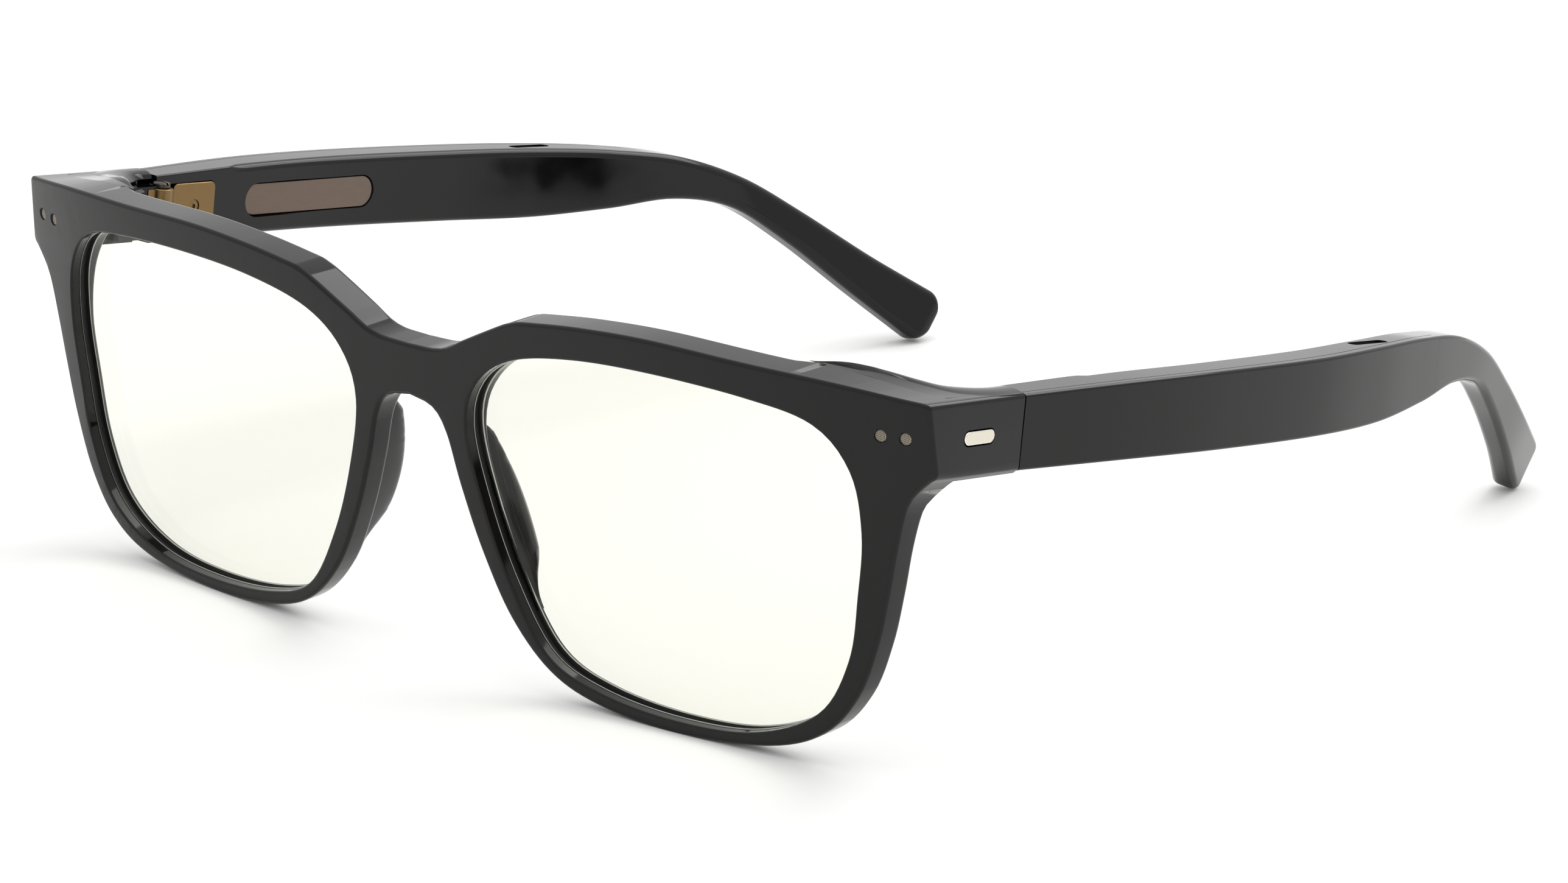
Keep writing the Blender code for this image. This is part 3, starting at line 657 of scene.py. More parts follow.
# %% The front moulding
def make_front():
    body = join(front_slab(), nose_pad(1), nose_pad(-1))
    cutters = []
    for side in (1, -1):
        mic, badge = mic_frame(side), badge_frame(side)
        for x in MIC_X:
            steps = ((-1.0, MIC_R + 0.12), (0.0, MIC_R + 0.12), (0.12, MIC_R), (2.4, MIC_R))
            cutters.append(turned(mic, (x - sum(MIC_X) / 2, 0.0), steps, 1))
        cutters.append(block(mic, (-4.4, 1.8, -2.8), (2.9, 8.0, 2.6)))
        steps = ((-1.0, 0.06), (0.0, 0.06), (0.1, 0.0), (0.55, 0.0))
        cutters.append(pill(badge, (0.0, 0.0), 2.68, 0.88, steps, 0))
        cutters.append(turned(front_frame_of(side), END_SCREW, ((0.0, 0.55), (6.0, 0.55)), 1, 20))
    return on_the_ground(cut(body, *cutters))


front = piece("front_moulding", make_front(), "front", "front_frame", "shell_black")
print("front moulding:", len(front.data.polygons), "faces")

# %% [markdown]
# ## Lenses
#
# A lens is a thin shell that follows the front's curve. Its rim is bevelled so that it snaps into
# the groove. A narrow step just inside the opening is painted pale, a painted highlight that
# stands for the bright line of the lit bevel; the rest of the rim is blackened, so that no light
# leaks in from the side. So a lens has three finishes.

# %% Lenses
def make_lens(side):
    bm = bmesh.new()
    bevel = 0.22
    inner = lens_loop(1.2, side, -0.12)
    shine, rim = lens_loop(1.2, side, 0.04), lens_loop(1.2, side, LENS_BITE)
    last = LENS_SET + LENS_THICK
    rims = [(inner, LENS_SET), (shine, LENS_SET + 0.05), (rim, LENS_SET + bevel),
            (rim, last - bevel), (shine, last - 0.05), (inner, last)]
    rings = [add_ring(bm, loop, depth) for loop, depth in rims]
    skin(bm, rings)
    count = len(inner)
    # Faces of the step take finish 1, painted pale as the bevel's highlight.
    for index, face in enumerate(bm.faces):
        face.material_index = 1 if index // count in (0, 4) else 2
    for ring in (rings[0], rings[-1]):
        filled = bmesh.ops.triangle_fill(bm, use_beauty=True, edges=edges_of(ring))
        for face in filled["geom"]:
            if isinstance(face, bmesh.types.BMFace):
                face.material_index = 0
    cut_across(bm, [side * x for x in range(10, 66, 2)])
    for vert in bm.verts:
        vert.co = bent(*vert.co)
    return mesh_of(bm)


for side, word in SIDES:
    lens = piece(f"clear_lens_{word}", make_lens(side), "front", f"lens_{word}", "lens_clear", 20)
    print(lens.name, [round(v * 1000, 1) for v in lens.dimensions], "mm")

# %% [markdown]
# ## Rear covers of the ends
#
# Behind each end a cover closes the space with the microphone board. Its top stands a little
# proud of the bar and widens towards the hinge, so the bar narrows to a wedge beside it.

# %% Rear covers
COVER_CREASE = ((54.5, 0.8), (57.0, 1.9), (60.0, 3.2), (62.8, 4.5), (67.0, 6.5), (70.0, 8.0),
                (71.6, 10.3), (72.2, 12.8), (72.35, 15.0))
COVER_BACK = ((54.7, 1.0), (57.2, 2.7), (60.4, 5.2), (63.4, 7.9), (65.7, 10.0), (67.1, 11.9),
              (67.9, 13.5), (68.0, 15.0))
COVER_PLAN = ((57.5, 2.9), (62.0, 3.9), (66.0, 5.0), (70.5, 6.1), (70.6, 15.0), (68.0, 15.0),
              (67.9, 13.5), (67.1, 11.4), (63.5, 7.8), (57.5, 4.4))

COVER_PROFILE = ((0.0, 0.0), (0.08, 0.2), (0.2, 0.55), (0.35, 0.85), (0.5, 1.0), (0.65, 1.0),
                 (0.8, 0.8), (0.92, 0.2), (1.0, -1.2), (1.0, -2.4))
COVER_RISE = 0.42
COVER_RINGS = 40
COVER_LEVELS = (-8.4, -0.6)


def bar_top(x):
    """Height of the front's top edge near its ends."""
    return 0.95 - 0.95 * (x - 62.0) / 10.5 if x > 62.0 else 1.5 - 0.55 * (x - 50.0) / 12.0


def point_on(curve, u):
    """The point at share u of a polyline's points."""
    spot = u * (len(curve) - 1)
    index = min(int(spot), len(curve) - 2)
    return curve[index].lerp(curve[index + 1], spot - index)


def cover_cap(side):
    """The raised top: a smooth strip between its crease with the bar and its back edge."""
    crease, back = spline(COVER_CREASE, 1.0), spline(COVER_BACK, 1.0)
    rings = []
    for i in range(COVER_RINGS + 1):
        u = i / COVER_RINGS
        c, b = point_on(crease, u), point_on(back, u)
        if i == COVER_RINGS:
            c = Vector((c.x, end_depth(HALF_WIDTH, 0.0, -0.1)))
            b = Vector((b.x, end_depth(HALF_WIDTH, 0.0, -0.1)))
        rise = COVER_RISE * smoothstep(0.0, 0.25, u)
        sweep = END_SWEEP * smoothstep(56.0, 70.0, c.x)
        ring = []
        across = b - c
        bar = min(front_y(c.x, 0.0) + BAR_DEPTH + 0.03, c.y - 0.03)
        start = Vector((c.x, bar if c.x < END_INNER else c.y - 0.03))
        profile = [(start, -1.2), (start, 0.0)]
        profile += [(c + across * share, lift) for share, lift in COVER_PROFILE]
        for p, lift in profile:
            z = bar_top(c.x) - sweep * (p.y - front_y(p.x, 0.0)) + rise * lift
            ring.append(Vector((side * p.x, p.y, z)))
        rings.append(ring)
    return loft(rings)


def make_end_cover(side):
    rings = []
    for level in COVER_LEVELS:
        ring = []
        for x, y in COVER_PLAN:
            if y == 15.0:
                y = end_depth(HALF_WIDTH, level, -0.1)
            ring.append(Vector((side * x, y, level - END_SWEEP * y)))
        rings.append(ring)
    body = join(loft(rings), cover_cap(side))
    place = temple_frame(side)
    leaf = block(place, (66.0, -7.0, -3.3), (68.3, -1.0, 3.3))
    hole = turned(front_frame_of(side), END_SCREW, ((0.0, 0.65), (9.0, 0.65)), 1, 20)
    channel = block(place, (68.7, -12.0, -1.6), (69.6, 1.0, 1.6))
    return cut(body, leaf, hole, channel)


for side, word in SIDES:
    cover = piece(f"rear_cover_{word}", make_end_cover(side), "front", f"endpiece_cover_{word}",
                  "shell_black", 32)
    print(cover.name, "faces", len(cover.data.polygons))

# %% [markdown]
# ## Temples
#
# A temple is a hollow moulding with a thin plate along its outside; the fine line between the
# two runs along its top. Both are cut from one smooth shape, so that they always meet flush.
# The inner top edge is crisp by the hinge, steps to a wide rounding and fades at the bend.

# %% Sections of a temple
def corner_radii(t):
    """Roundings of the outer, inner upper and inner lower edges at a distance along."""
    wide = 0.3 + 0.75 * smoothstep(12.8, 14.6, t)
    ear = smoothstep(80.0, 105.0, t)
    return 0.42 + 0.5 * ear, wide + (1.25 - wide) * ear, 0.75 + 0.45 * ear


def temple_rings(start, end, inset, depth_from, depth_to, radii, step):
    count = max(2, round((end - start) / step))
    rings = []
    for i in range(count + 1):
        t = start + (end - start) * i / count
        outer, centre, high, wide = spine_at(t)
        ahead, behind = spine_at(t + 0.5), spine_at(t - 0.5)
        slope = (ahead[1] - behind[1]) if t > 1 else 0.0
        bow = (ahead[0] - behind[0]) if t > 1 else 0.0
        along = Vector((bow, 1.0, slope)).normalized()
        up = Vector((0.0, -slope, 1.0)).normalized()
        across = along.cross(up).normalized()
        across = across if across.x > 0 else -across
        deep = wide if depth_to is None else depth_to
        low, top = -high / 2 + inset, high / 2 - inset
        r_out, r_up, r_low = radii(t) if callable(radii) else (radii,) * 3
        ring = []
        for sx, sy, r, first in ((1, 1, r_out, 0), (-1, 1, r_up, 90), (-1, -1, r_low, 180),
                                 (1, -1, r_out, 270)):
            cx = -depth_from - r if sx > 0 else -deep + r
            cy = top - r if sy > 0 else low + r
            for k in range(7):
                angle = math.radians(first + 15 * k)
                n, v = cx + r * math.cos(angle), cy + r * math.sin(angle)
                ring.append(Vector((outer - 0.01, t, centre)) + across * n + up * v)
        rings.append(ring)
    return rings


def temple_solid(side, start, end, inset, depth_from, depth_to, radii, step=1.6, tip=False):
    place = temple_frame(side)
    rings = temple_rings(start, end, inset, depth_from, depth_to, radii, step)
    if tip:
        last = rings[-1]
        middle = sum(last, Vector()) / len(last)
        along = (middle - sum(rings[-2], Vector()) / len(last)).normalized()
        up = Vector((0.0, -along.z, along.y)).normalized()
        half = max((p - middle).dot(up) for p in last)
        for k in range(1, 9):
            angle = math.radians(90 * k / 8)
            high = 1.0 - 2.6 * (1 - math.cos(angle)) / half
            wide = 1.0 - 0.45 * max(1 - math.cos(angle) - 0.1, 0.0)
            rings.append([middle + (p - middle) * wide + up * (p - middle).dot(up) * (high - wide)
                          + along * TIP_REACH * math.sin(angle) for p in last])
    return loft([[place(*point) for point in ring] for ring in rings])


def temple_shape(side):
    return temple_solid(side, PARTING, 129.3, 0.0, 0.0, None, corner_radii, 1.3, tip=True)


print("temple edge radii at the hinge:", corner_radii(0.0), "and at the ear:", corner_radii(105.0))

# %% Inside and openings of a temple
def slot_centre():
    outer, centre, high, wide = spine_at(SLOT[0] + SLOT[1] / 2)
    return outer - 0.5 * wide - 0.15, centre, high


def cavity_x(t, depth):
    return spine_at(t)[0] - 1.3 - 0.3 - depth


def underside():
    _, centre, high, _ = spine_at(BUTTON_AT)
    return centre - high / 2


def button_bar(side, half, radius, levels):
    place = temple_frame(side)

    def along(t, x, a):
        return place(x, t, a)

    return pill(along, (BUTTON_AT, cavity_x(BUTTON_AT, 1.45)), half, radius, levels, 2)


def inner_face():
    outer, _, _, wide = spine_at(26.0)
    return outer - wide


def temple_cutters(side):
    place = temple_frame(side)
    inner = inner_face()
    x, centre, high = slot_centre()
    cutters = [
        temple_solid(side, -3.0, COVER_END, -2.0, -3.0, COVER_THICK + 0.06, 0.02),
        temple_solid(side, CAVITY[0], CAVITY[1], WALL, -1.0, 4.5, 0.5, 4.0),
        plate(place, (-1.0, -3.12), (10.62, 3.12), ((67.0, 0.0), (68.8, 0.0)), 0.7),
        temple_solid(side, -1.0, CAVITY[0] + 1.0, 3.0, -2.9, 3.35, 0.1, 4.0),
        pill(place, (28.1, 0.0), 11.4, 2.0, ((inner - 1.0, 0.2), (inner - 0.02, 0.2),
                                            (inner + 0.15, 0.1), (inner + 1.0, 0.08)), 0),
        turned(place, (7.0, 0.0), ((67.0, 0.5), (69.8, 0.5)), 0, 20),
    ]
    length, width = SLOT[1], SLOT[2]
    for up in (1, -1):
        low, top = sorted((centre + up * (high / 2 - 1.8), centre + up * (high / 2 + 1.0)))

        def along(t, across, a):
            return place(across, t, a)

        cutters.append(pill(along, (SLOT[0] + length / 2, x), length / 2, width / 2,
                            ((low, 0.0), (top, 0.0)), 2))
    if side < 0:
        cutters.append(button_bar(side, 4.5, 0.9, ((-6.0, 0.08), (-2.5, 0.08))))
    return cutters


# %% Temple mouldings and their outer plates
for side, word in SIDES:
    body = on_the_ground(cut(temple_shape(side), *temple_cutters(side)))
    shell = piece(f"temple_moulding_{word}", body, f"temple_{word}", f"temple_body_{word}",
                  "shell_black")
    strip = temple_solid(side, -3.0, COVER_END - 0.02, -2.0, -3.0, COVER_THICK - 0.06, 0.02)
    outer = piece(f"outer_plate_{word}", common(temple_shape(side), strip), f"temple_{word}",
                  f"temple_cover_{word}", "shell_black")
    print(shell.name, len(shell.data.polygons), "faces;", outer.name, len(outer.data.polygons))

# %% [markdown]
# ## Metal trim
#
# The side badge is a small pill of steel with a satin face and a polished rim. The plaque inside
# the temple is a long brown pill that sits a little below the surface; it is left blank. The
# hinge leaf has round corners, and its knuckle turns on a screw.

# %% Side badges and inner plaques
def edge_finish(mesh, direction, limit):
    """The faces that turn away from the main direction take the second finish."""
    for polygon in mesh.polygons:
        polygon.material_index = 0 if abs(polygon.normal.dot(direction)) > limit else 1


for side, word in SIDES:
    levels = ((-0.12, -0.2), (-0.11, -0.14), (-0.06, -0.06), (0.02, -0.02), (0.4, 0.0))
    mesh = pill(badge_frame(side), (0.0, 0.0), 2.6, 0.8, levels, 0, 20)
    edge_finish(mesh, Vector((1, 0, 0)), 0.9)
    piece(f"badge_{word}", mesh, "front", f"side_badge_{word}", "badge_steel", 30)
    inner = inner_face()
    levels = ((inner + 0.18, -0.16), (inner + 0.2, -0.06), (inner + 0.28, 0.0), (inner + 0.75, 0.0))
    mesh = pill(temple_frame(side), (28.1, 0.0), 11.4, 2.0, levels, 0, 24)
    plaque = piece(f"plaque_{word}", mesh, f"temple_{word}", f"inner_plate_{word}",
                   "plaque_brown", 30)
    print(plaque.name, [round(v * 1000, 1) for v in plaque.dimensions], "mm")

# %% Hinges
def knuckle(place, low, high):
    steps = ((low, BARREL - 0.1), (low + 0.1, BARREL), (high - 0.1, BARREL), (high, BARREL - 0.1))
    return turned(place, (HINGE.x, 0.0), steps, 2)


def pin_bore(place):
    return turned(place, (HINGE.x, 0.0), ((-5.0, PIN_BORE), (5.0, PIN_BORE)), 2)


def make_temple_hinge(side):
    place = temple_frame(side)
    half = MIDDLE / 2 - 0.06
    wide = plate(place, (3.4, -3.0), (10.5, 3.0), ((67.72, 0.08), (67.8, 0.0), (68.6, 0.0)), 0.75)
    narrow = plate(place, (1.7, -2.35), (5.0, 2.35), ((67.74, 0.07), (67.81, 0.0), (68.55, 0.0)),
                   0.5)
    neck = block(place, (66.6, 0.25, 0.04 - half), (68.4, 2.6, half - 0.04))
    hole = turned(place, (7.0, 0.0), ((67.0, 0.92), (67.95, 0.9), (68.3, 0.6), (69.0, 0.6)), 0)
    return cut(join(wide, narrow, neck, knuckle(place, -half, half)), pin_bore(place), hole)


def make_front_hinge(side):
    place = temple_frame(side)
    half = MIDDLE / 2 + 0.06
    leaf = plate(place, (-6.8, -2.9), (-1.9, 2.9), ((66.3, 0.0), (67.6, 0.0)), 0.6)
    parts = []
    for low, high in ((half, 3.0), (-3.0, -half)):
        parts.append(knuckle(place, low, high))
        parts.append(block(place, (65.9, -2.6, low + 0.05), (67.4, -0.9, high - 0.05)))
    return cut(join(leaf, *parts), pin_bore(place))


def make_hinge_screw(side):
    place = temple_frame(side)
    steps = ((-3.0, 0.45), (-2.8, 0.6), (3.12, 0.6), (3.15, 1.1), (3.55, 1.1), (3.7, 0.98),
             (3.75, 0.85))
    slot = block(place, (HINGE.x - 1.3, -0.15, 3.45), (HINGE.x + 1.3, 0.15, 4.5))
    return cut(turned(place, (HINGE.x, 0.0), steps, 2), slot)


def make_leaf_screw(side):
    place = temple_frame(side)
    steps = ((67.82, 0.7), (67.85, 0.86), (68.0, 0.86), (68.3, 0.42), (69.7, 0.4))
    socket = turned(place, (7.0, 0.0), ((67.0, 0.4), (68.05, 0.36)), 0, 6)
    return cut(turned(place, (7.0, 0.0), steps, 0), socket)


for side, word in SIDES:
    body = f"temple_{word}"
    piece(f"temple_leaf_{word}", make_temple_hinge(side), body, f"temple_hinge_{word}",
          "hinge_bronze")
    piece(f"front_leaf_{word}", make_front_hinge(side), "front", f"front_hinge_{word}",
          "hinge_bronze")
    piece(f"pivot_screw_{word}", make_hinge_screw(side), "front", f"hinge_screw_{word}",
          "screw_steel")
    piece(f"plate_screw_{word}", make_leaf_screw(side), body, f"leaf_screw_{word}",
          "hinge_bronze")
print("hinge pieces:", [name for name in made_pieces if "leaf" in name or "screw" in name])

# %% [markdown]
# ## Meshes and the button
#
# Microphones and sound slots sit behind woven bronze wire, which keeps dust out and lets sound
# through. The button is a low pill under the temple with a soft edge.

# %% Microphone meshes, sound slot meshes and the button
def make_grille(side, up):
    place = temple_frame(side)
    x, centre, high = slot_centre()
    near, far = centre + up * (high / 2 - 0.42), centre + up * (high / 2 - 0.75)

    def along(t, across, a):
        return place(across, t, a)

    return pill(along, (SLOT[0] + SLOT[1] / 2, x), SLOT[1] / 2, SLOT[2] / 2,
                ((near, -0.03), (far, -0.03)), 2)


for side, word in SIDES:
    for x, spot in zip(MIC_X, ("outer", "inner")):
        steps = ((0.14, 0.3), (0.16, 0.6), (0.2, 0.69), (0.75, 0.69))
        mesh = turned(mic_frame(side), (x - sum(MIC_X) / 2, 0.0), steps, 1)
        piece(f"mic_cloth_{word}_{spot}", mesh, "front", f"mic_mesh_{word}_{spot}", "mesh_bronze")
    for up, spot in ((1, "top"), (-1, "bottom")):
        piece(f"sound_cloth_{spot}_{word}", make_grille(side, up), f"temple_{word}",
              f"speaker_grille_{spot}_{word}", "mesh_bronze")

low = underside()
cap = button_bar(-1, 4.5, 0.9, ((low - 0.15, -0.3), (low - 0.13, -0.2), (low - 0.02, -0.06),
                                (low + 0.12, 0.0), (low + 1.35, 0.0)))
flange = button_bar(-1, 5.1, 1.15, ((low + 1.3, 0.0), (low + 1.75, 0.0)))
piece("button_cap", join(cap, flange), "button", "function_button", "shell_black")
print("meshes and button made:", len(made_pieces), "pieces so far")

# %% [markdown]
# ## Finishes
#
# Each finish starts from the real material. One function turns a hex colour into the linear
# values that the shader wants, and one adds a node with its settings and links.

# %% Colour and node helpers
def colour(code):
    """Linear RGBA of an sRGB hex colour."""
    values = [int(code[i:i + 2], 16) / 255 for i in (1, 3, 5)]
    return (*[v / 12.92 if v <= 0.04045 else ((v + 0.055) / 1.055) ** 2.4 for v in values], 1.0)


def fill(tree, node, inputs):
    """Sets each named socket to a constant, or links it to another node's output."""
    for socket, source in inputs.items():
        if isinstance(source, bpy.types.NodeSocket):
            tree.links.new(source, node.inputs[socket])
        else:
            node.inputs[socket].default_value = source


def add(tree, kind, inputs=None, **properties):
    node = tree.nodes.new(kind)
    for name, value in properties.items():
        setattr(node, name, value)
    fill(tree, node, inputs or {})
    return node


def finish_of(name, **inputs):
    """A new material with a Principled shader; the rest names the shader's inputs."""
    material = bpy.data.materials.new(name)
    material.use_nodes = True
    tree = material.node_tree
    shader = tree.nodes["Principled BSDF"]
    fill(tree, shader, {key.replace("_", " "): value for key, value in inputs.items()})
    return material, tree, shader


def grain_of(tree, size_mm, stretch=(1.0, 1.0, 1.0), detail=2.0):
    """Soft variation whose patches are about size_mm wide on the piece itself."""
    place = add(tree, "ShaderNodeTexCoord")
    scale = add(tree, "ShaderNodeVectorMath", {0: place.outputs["Object"],
                                               1: [1000.0 * v / size_mm for v in stretch]},
                operation="MULTIPLY")
    return add(tree, "ShaderNodeTexNoise", {"Vector": scale.outputs["Vector"], "Scale": 1.0,
                                            "Detail": detail}).outputs["Fac"]


def uneven(tree, shader, grain, rough, spread, depth_mm):
    """Lets the roughness and the surface follow a grain."""
    spots = add(tree, "ShaderNodeMapRange", {"Value": grain, "From Min": 0.3, "From Max": 0.7,
                                             "To Min": rough - spread, "To Max": rough + spread})
    relief = add(tree, "ShaderNodeBump", {"Height": grain, "Strength": 0.1,
                                          "Distance": depth_mm * 0.001})
    fill(tree, shader, {"Roughness": spots.outputs["Result"], "Normal": relief.outputs["Normal"]})


black = colour("#080808")
print("gloss black in linear light:", [round(v, 4) for v in black[:3]])

# %% [markdown]
# ### Gloss black nylon
#
# Injection-moulded nylon under a clear polish. The eye sees almost no colour, only reflections,
# with the faint waviness of a moulding and a polish that varies a little from place to place.

# %% Gloss black nylon
NYLON, tree, shader = finish_of("polished_black_nylon", Base_Color=black, IOR=1.5,
                                Specular_IOR_Level=0.27)
uneven(tree, shader, grain_of(tree, 5.0), 0.08, 0.025, 0.01)
print("nylon nodes:", len(tree.nodes))

# %% [markdown]
# ### Lens and its rim
#
# A coated lens is nearly all transmission, with a reflection that grows at a grazing angle. So
# a clear layer and a mirror-like one are mixed by the angle of view. The step is rough, as finely
# ground glass is, and its pale colour is a painted highlight.

# %% Lens finishes
def coated_lens():
    material, tree, shader = finish_of("coated_clear_lens", Base_Color=colour("#f8f8f5"),
                                       Metallic=1.0, Roughness=0.02)
    clear = add(tree, "ShaderNodeBsdfTransparent", {"Color": colour("#f9f9f5")})
    tilt = add(tree, "ShaderNodeLayerWeight", {"Blend": 0.5})
    steep = add(tree, "ShaderNodeMath", {0: tilt.outputs["Facing"], 1: 5.0}, operation="POWER")
    mirrored = add(tree, "ShaderNodeMapRange", {"Value": steep.outputs[0], "To Min": 0.012,
                                                "To Max": 0.7})
    mix = add(tree, "ShaderNodeMixShader", {0: mirrored.outputs["Result"],
                                            1: clear.outputs["BSDF"], 2: shader.outputs["BSDF"]})
    fill(tree, tree.nodes["Material Output"], {"Surface": mix.outputs["Shader"]})
    return material


def grained(name, base, rough, spread=0.07, size_mm=0.1, stretch=(1.0, 1.0, 1.0), metallic=1.0,
            depth_mm=0.01):
    """One even colour with a fine grain, as blasting, brushing, turning or a moulded skin."""
    material, tree, shader = finish_of(name, Base_Color=colour(base), Metallic=metallic)
    uneven(tree, shader, grain_of(tree, size_mm, stretch), rough, spread, depth_mm)
    return material


# The step's finish is painted pale: a painted highlight for the bevel's bright line.
LENS = [coated_lens(), grained("lens_step_painted_highlight", "#dfe2dc", 0.45, 0.1, 0.08, metallic=0.0),
        grained("blackened_lens_rim", "#101011", 0.5, 0.1, 0.08, metallic=0.0)]
print("lens finishes:", [finish.name for finish in LENS])

# %% [markdown]
# ### Woven wire and fine lines
#
# The cloth over the microphones is woven from bronze wire, so it is two crossed waves. The wires
# lie 0.16 mm apart, a little coarser than real so that they show. The same wave, one way only,
# draws the traces of a ribbon and the turns of a coil.

# %% Woven and striped finishes
def waves_between(tree, shader, axes, spacing_mm, dark, light):
    """Colours the piece by sine waves along one or two directions, and bumps it by their height."""
    place = add(tree, "ShaderNodeTexCoord")
    height = None
    for axis in axes:
        along = add(tree, "ShaderNodeVectorMath", {0: place.outputs["Object"], 1: axis},
                    operation="DOT_PRODUCT")
        turns = add(tree, "ShaderNodeMath", {0: along.outputs["Value"],
                                             1: 1000.0 * math.pi / spacing_mm},
                    operation="MULTIPLY")
        wave = add(tree, "ShaderNodeMath", {0: turns.outputs[0]}, operation="SINE")
        crest = add(tree, "ShaderNodeMath", {0: wave.outputs[0]}, operation="ABSOLUTE").outputs[0]
        if height:
            crest = add(tree, "ShaderNodeMath", {0: height, 1: crest},
                        operation="MAXIMUM").outputs[0]
        height = crest
    edge = add(tree, "ShaderNodeMapRange", {"Value": height, "From Min": 0.5, "From Max": 0.95})
    shade = add(tree, "ShaderNodeMix", {0: edge.outputs["Result"], 6: colour(dark),
                                        7: colour(light)}, data_type="RGBA")
    relief = add(tree, "ShaderNodeBump", {"Height": height, "Strength": 0.5, "Distance": 3e-5})
    fill(tree, shader, {"Base Color": shade.outputs[2], "Normal": relief.outputs["Normal"]})


def lined(name, dark, light, spacing_mm, metallic, rough, axes=((0.0, 0.0, 1.0),)):
    material, tree, shader = finish_of(name, Metallic=metallic, Roughness=rough)
    waves_between(tree, shader, axes, spacing_mm, dark, light)
    return material


WOVEN = lined("woven_bronze_wire", "#14120f", "#8d8578", 0.16, 1.0, 0.38,
              ((1.0, 0.0, 0.0), (0.0, 0.7, 0.7)))
print("woven wire:", len(WOVEN.node_tree.nodes), "nodes")

# %% [markdown]
# ### The list of finishes
#
# Plated hinges are satin bronze, the badge is blasted steel with a polished rim, the plaque is
# brushed and dyed brown, and the screws are blackened steel. The inside pieces are not seen while
# the glasses are whole, but each has the finish it would have on a bench: solder mask, plated
# lids, a polyimide ribbon and wound wire.

# %% All finishes, by the record's slots
FINISH = {
    "shell_black": [NYLON],
    "lens_clear": LENS,
    "badge_steel": [grained("blasted_steel", "#d8d2c4", 0.38, size_mm=0.12),
                    grained("polished_steel", "#e6e2d8", 0.14, 0.04, 0.3)],
    "hinge_bronze": [grained("satin_bronze_plate", "#7c6544", 0.34, stretch=(1.0, 0.06, 1.0))],
    "mesh_bronze": [WOVEN],
    "screw_steel": [grained("blackened_steel", "#4d4842", 0.34, stretch=(1.0, 1.0, 0.1))],
    "plaque_brown": [grained("dyed_brown_plate", "#6d6057", 0.42, stretch=(1.0, 0.06, 1.0))],
    "board_green": [lined("solder_mask", "#0c3b22", "#1d5c38", 0.9, 0.0, 0.4)],
    "capsule_gold": [grained("gold_plated_lid", "#c9a75e", 0.25, size_mm=0.3)],
    "flex_amber": [lined("polyimide_ribbon", "#a8661c", "#c98a3a", 0.5, 0.0, 0.35)],
    "cell_foil": [grained("laminated_foil", "#b9bbc0", 0.35, size_mm=0.8, depth_mm=0.03)],
    "coil_copper": [lined("copper_winding", "#6e3a18", "#b0662f", 0.25, 1.0, 0.3)],
    "speaker_black": [grained("speaker_can", "#1c1c1e", 0.5, size_mm=0.2, metallic=0.0)],
    "switch_steel": [grained("stamped_steel", "#a9a9ac", 0.3, size_mm=0.2)],
}
SLOT_OF = {row["node"]: row["material_slot"] for row in frame["record"]["subparts"]}


def paint(thing, slot):
    if thing.data.materials:
        thing.data.materials.clear()
    for material in FINISH[slot]:
        thing.data.materials.append(material)


for thing in made_pieces.values():
    paint(thing, thing["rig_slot"])
hidden = {node for thing in made_pieces.values() for node in thing["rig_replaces"]}
kept = [name for name in frame["nodes"] if name not in hidden]
for name in kept:
    paint(frame["nodes"][name], SLOT_OF[name])
print("finishes:", sum(map(len, FINISH.values())), "for", len(made_pieces), "new pieces and",
      len(kept), "kept parts")

# %% [markdown]
# ## Stage, light and camera
#
# A pale table and an even white surround, as a product table with a light tent. A gloss black
# piece shows what is around it, so the surround does most of the work.

# %% Table
material, tree, shader = finish_of("white_table", Base_Color=colour("#f4f4f3"))
uneven(tree, shader, grain_of(tree, 40.0), 0.6, 0.05, 0.01)
mesh = bpy.data.meshes.new("table")
corners = [(-4, -4, -1e-5), (4, -4, -1e-5), (4, 4, -1e-5), (-4, 4, -1e-5)]
mesh.from_pydata(corners, [], [(0, 1, 2, 3)])
mesh.materials.append(material)
table = bpy.data.objects.new("table", mesh)
bpy.context.collection.objects.link(table)
table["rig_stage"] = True
print("table 8 m square")

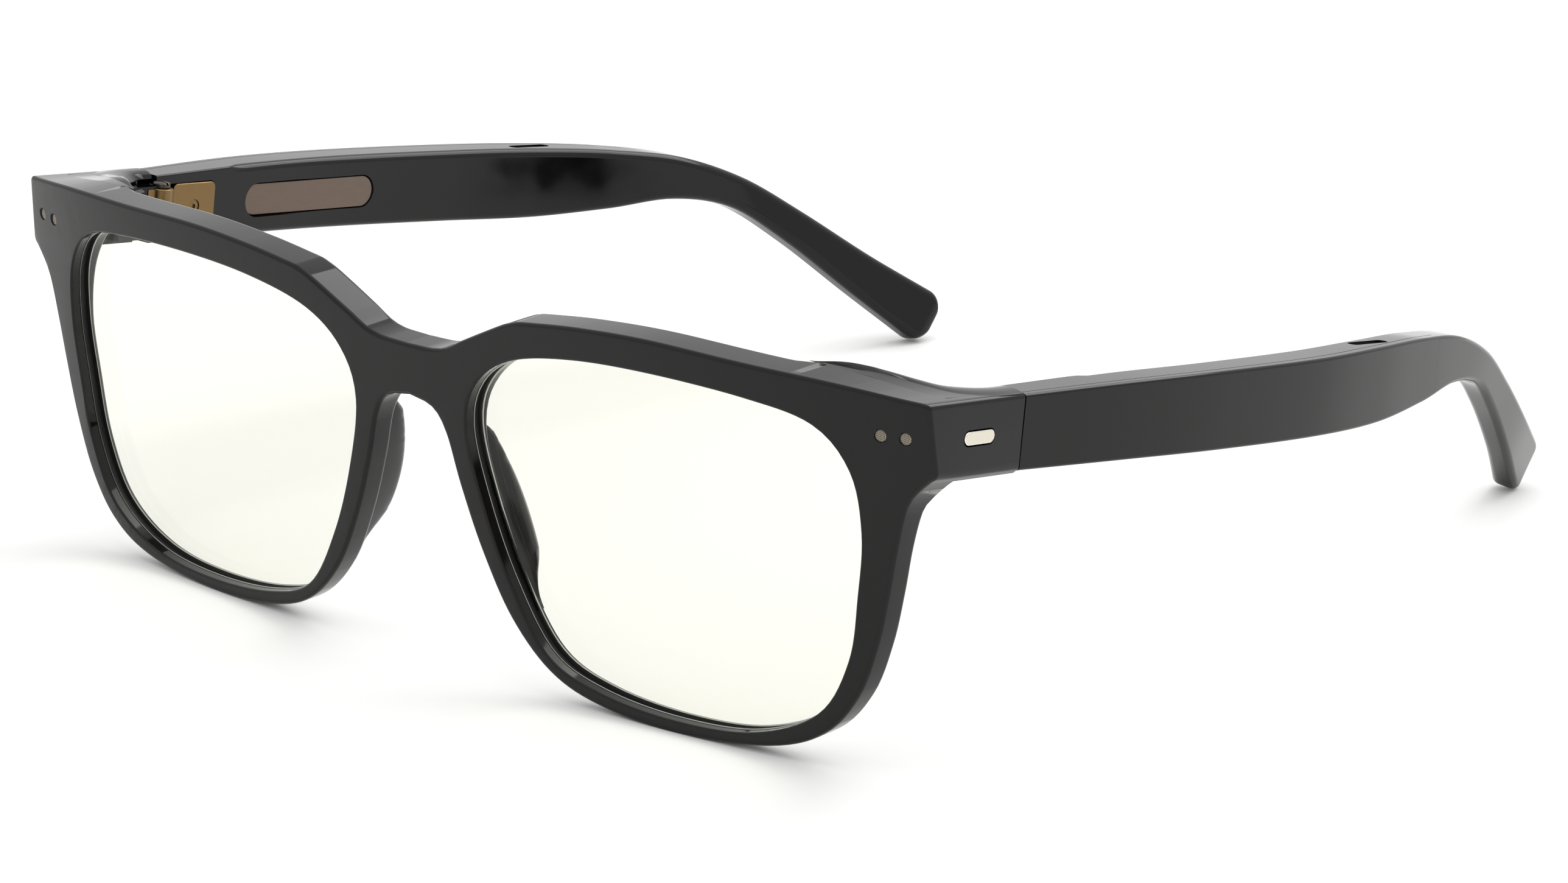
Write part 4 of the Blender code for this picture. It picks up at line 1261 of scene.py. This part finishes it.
# %% Light tent
world = bpy.data.worlds.new("light_tent")
bpy.context.scene.world = world
world.use_nodes = True
tree = world.node_tree
where = add(tree, "ShaderNodeTexCoord")
height = add(tree, "ShaderNodeSeparateXYZ", {0: where.outputs["Generated"]})
glow = add(tree, "ShaderNodeMapRange", {"Value": height.outputs["Z"], "To Min": 0.95,
                                        "To Max": 1.1})
fill(tree, tree.nodes["Background"], {"Color": colour("#ffffff"),
                                      "Strength": glow.outputs["Result"]})
bpy.context.scene.view_settings.view_transform = "Standard"


def soft_box(name, place, size, power):
    data = bpy.data.lights.new(name, "AREA")
    data.shape = "RECTANGLE"
    data.size, data.size_y = size
    data.energy = power
    lamp = bpy.data.objects.new(name, data)
    lamp.location = place
    lamp.rotation_euler = (-Vector(place)).to_track_quat("-Z", "Y").to_euler()
    bpy.context.collection.objects.link(lamp)


soft_box("top_box", (0.1, 0.05, 1.0), (0.9, 0.7), 1.5)
soft_box("back_box", (0.1, 1.0, 1.05), (1.1, 0.7), 7.0)
print("light tent with a top box and a back box")

# %% Camera
AZIMUTH, ELEVATION, ROLL = 42.21, 17.98, -0.73
DISTANCE, ACROSS, UP, FOCAL = 720.0, 38.3, -18.2, 144.0


def camera_turn():
    a, e, r = (math.radians(v) for v in (AZIMUTH, ELEVATION, ROLL))
    back = Vector((math.sin(a) * math.cos(e), -math.cos(a) * math.cos(e), math.sin(e)))
    right = Vector((math.cos(a), math.sin(a), 0.0))
    up = back.cross(right)
    right, up = (math.cos(r) * right + math.sin(r) * up, -math.sin(r) * right + math.cos(r) * up)
    return Matrix((right, up, back)).transposed()


axes = camera_turn()
seat = axes @ Vector((ACROSS, UP, DISTANCE))
lens_data = bpy.data.cameras.new("product_camera")
lens_data.lens = FOCAL
lens_data.sensor_width = 36.0
lens_data.clip_start = 0.01
camera = bpy.data.objects.new("product_camera", lens_data)
turned_axes = Matrix.Rotation(lean_back, 3, "X") @ axes
camera.matrix_world = Matrix.Translation(PLACE @ seat) @ turned_axes.to_4x4()
bpy.context.collection.objects.link(camera)
bpy.context.scene.camera = camera
print("camera at", [round(v, 3) for v in camera.location])

# %% Sizes, and the last line
new_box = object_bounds()
sizes = {"cad_box": [list(corner) for corner in cad_box],
         "visual_box": [list(corner) for corner in new_box]}
print("CAD box", sizes["cad_box"])
print("visual box", sizes["visual_box"])
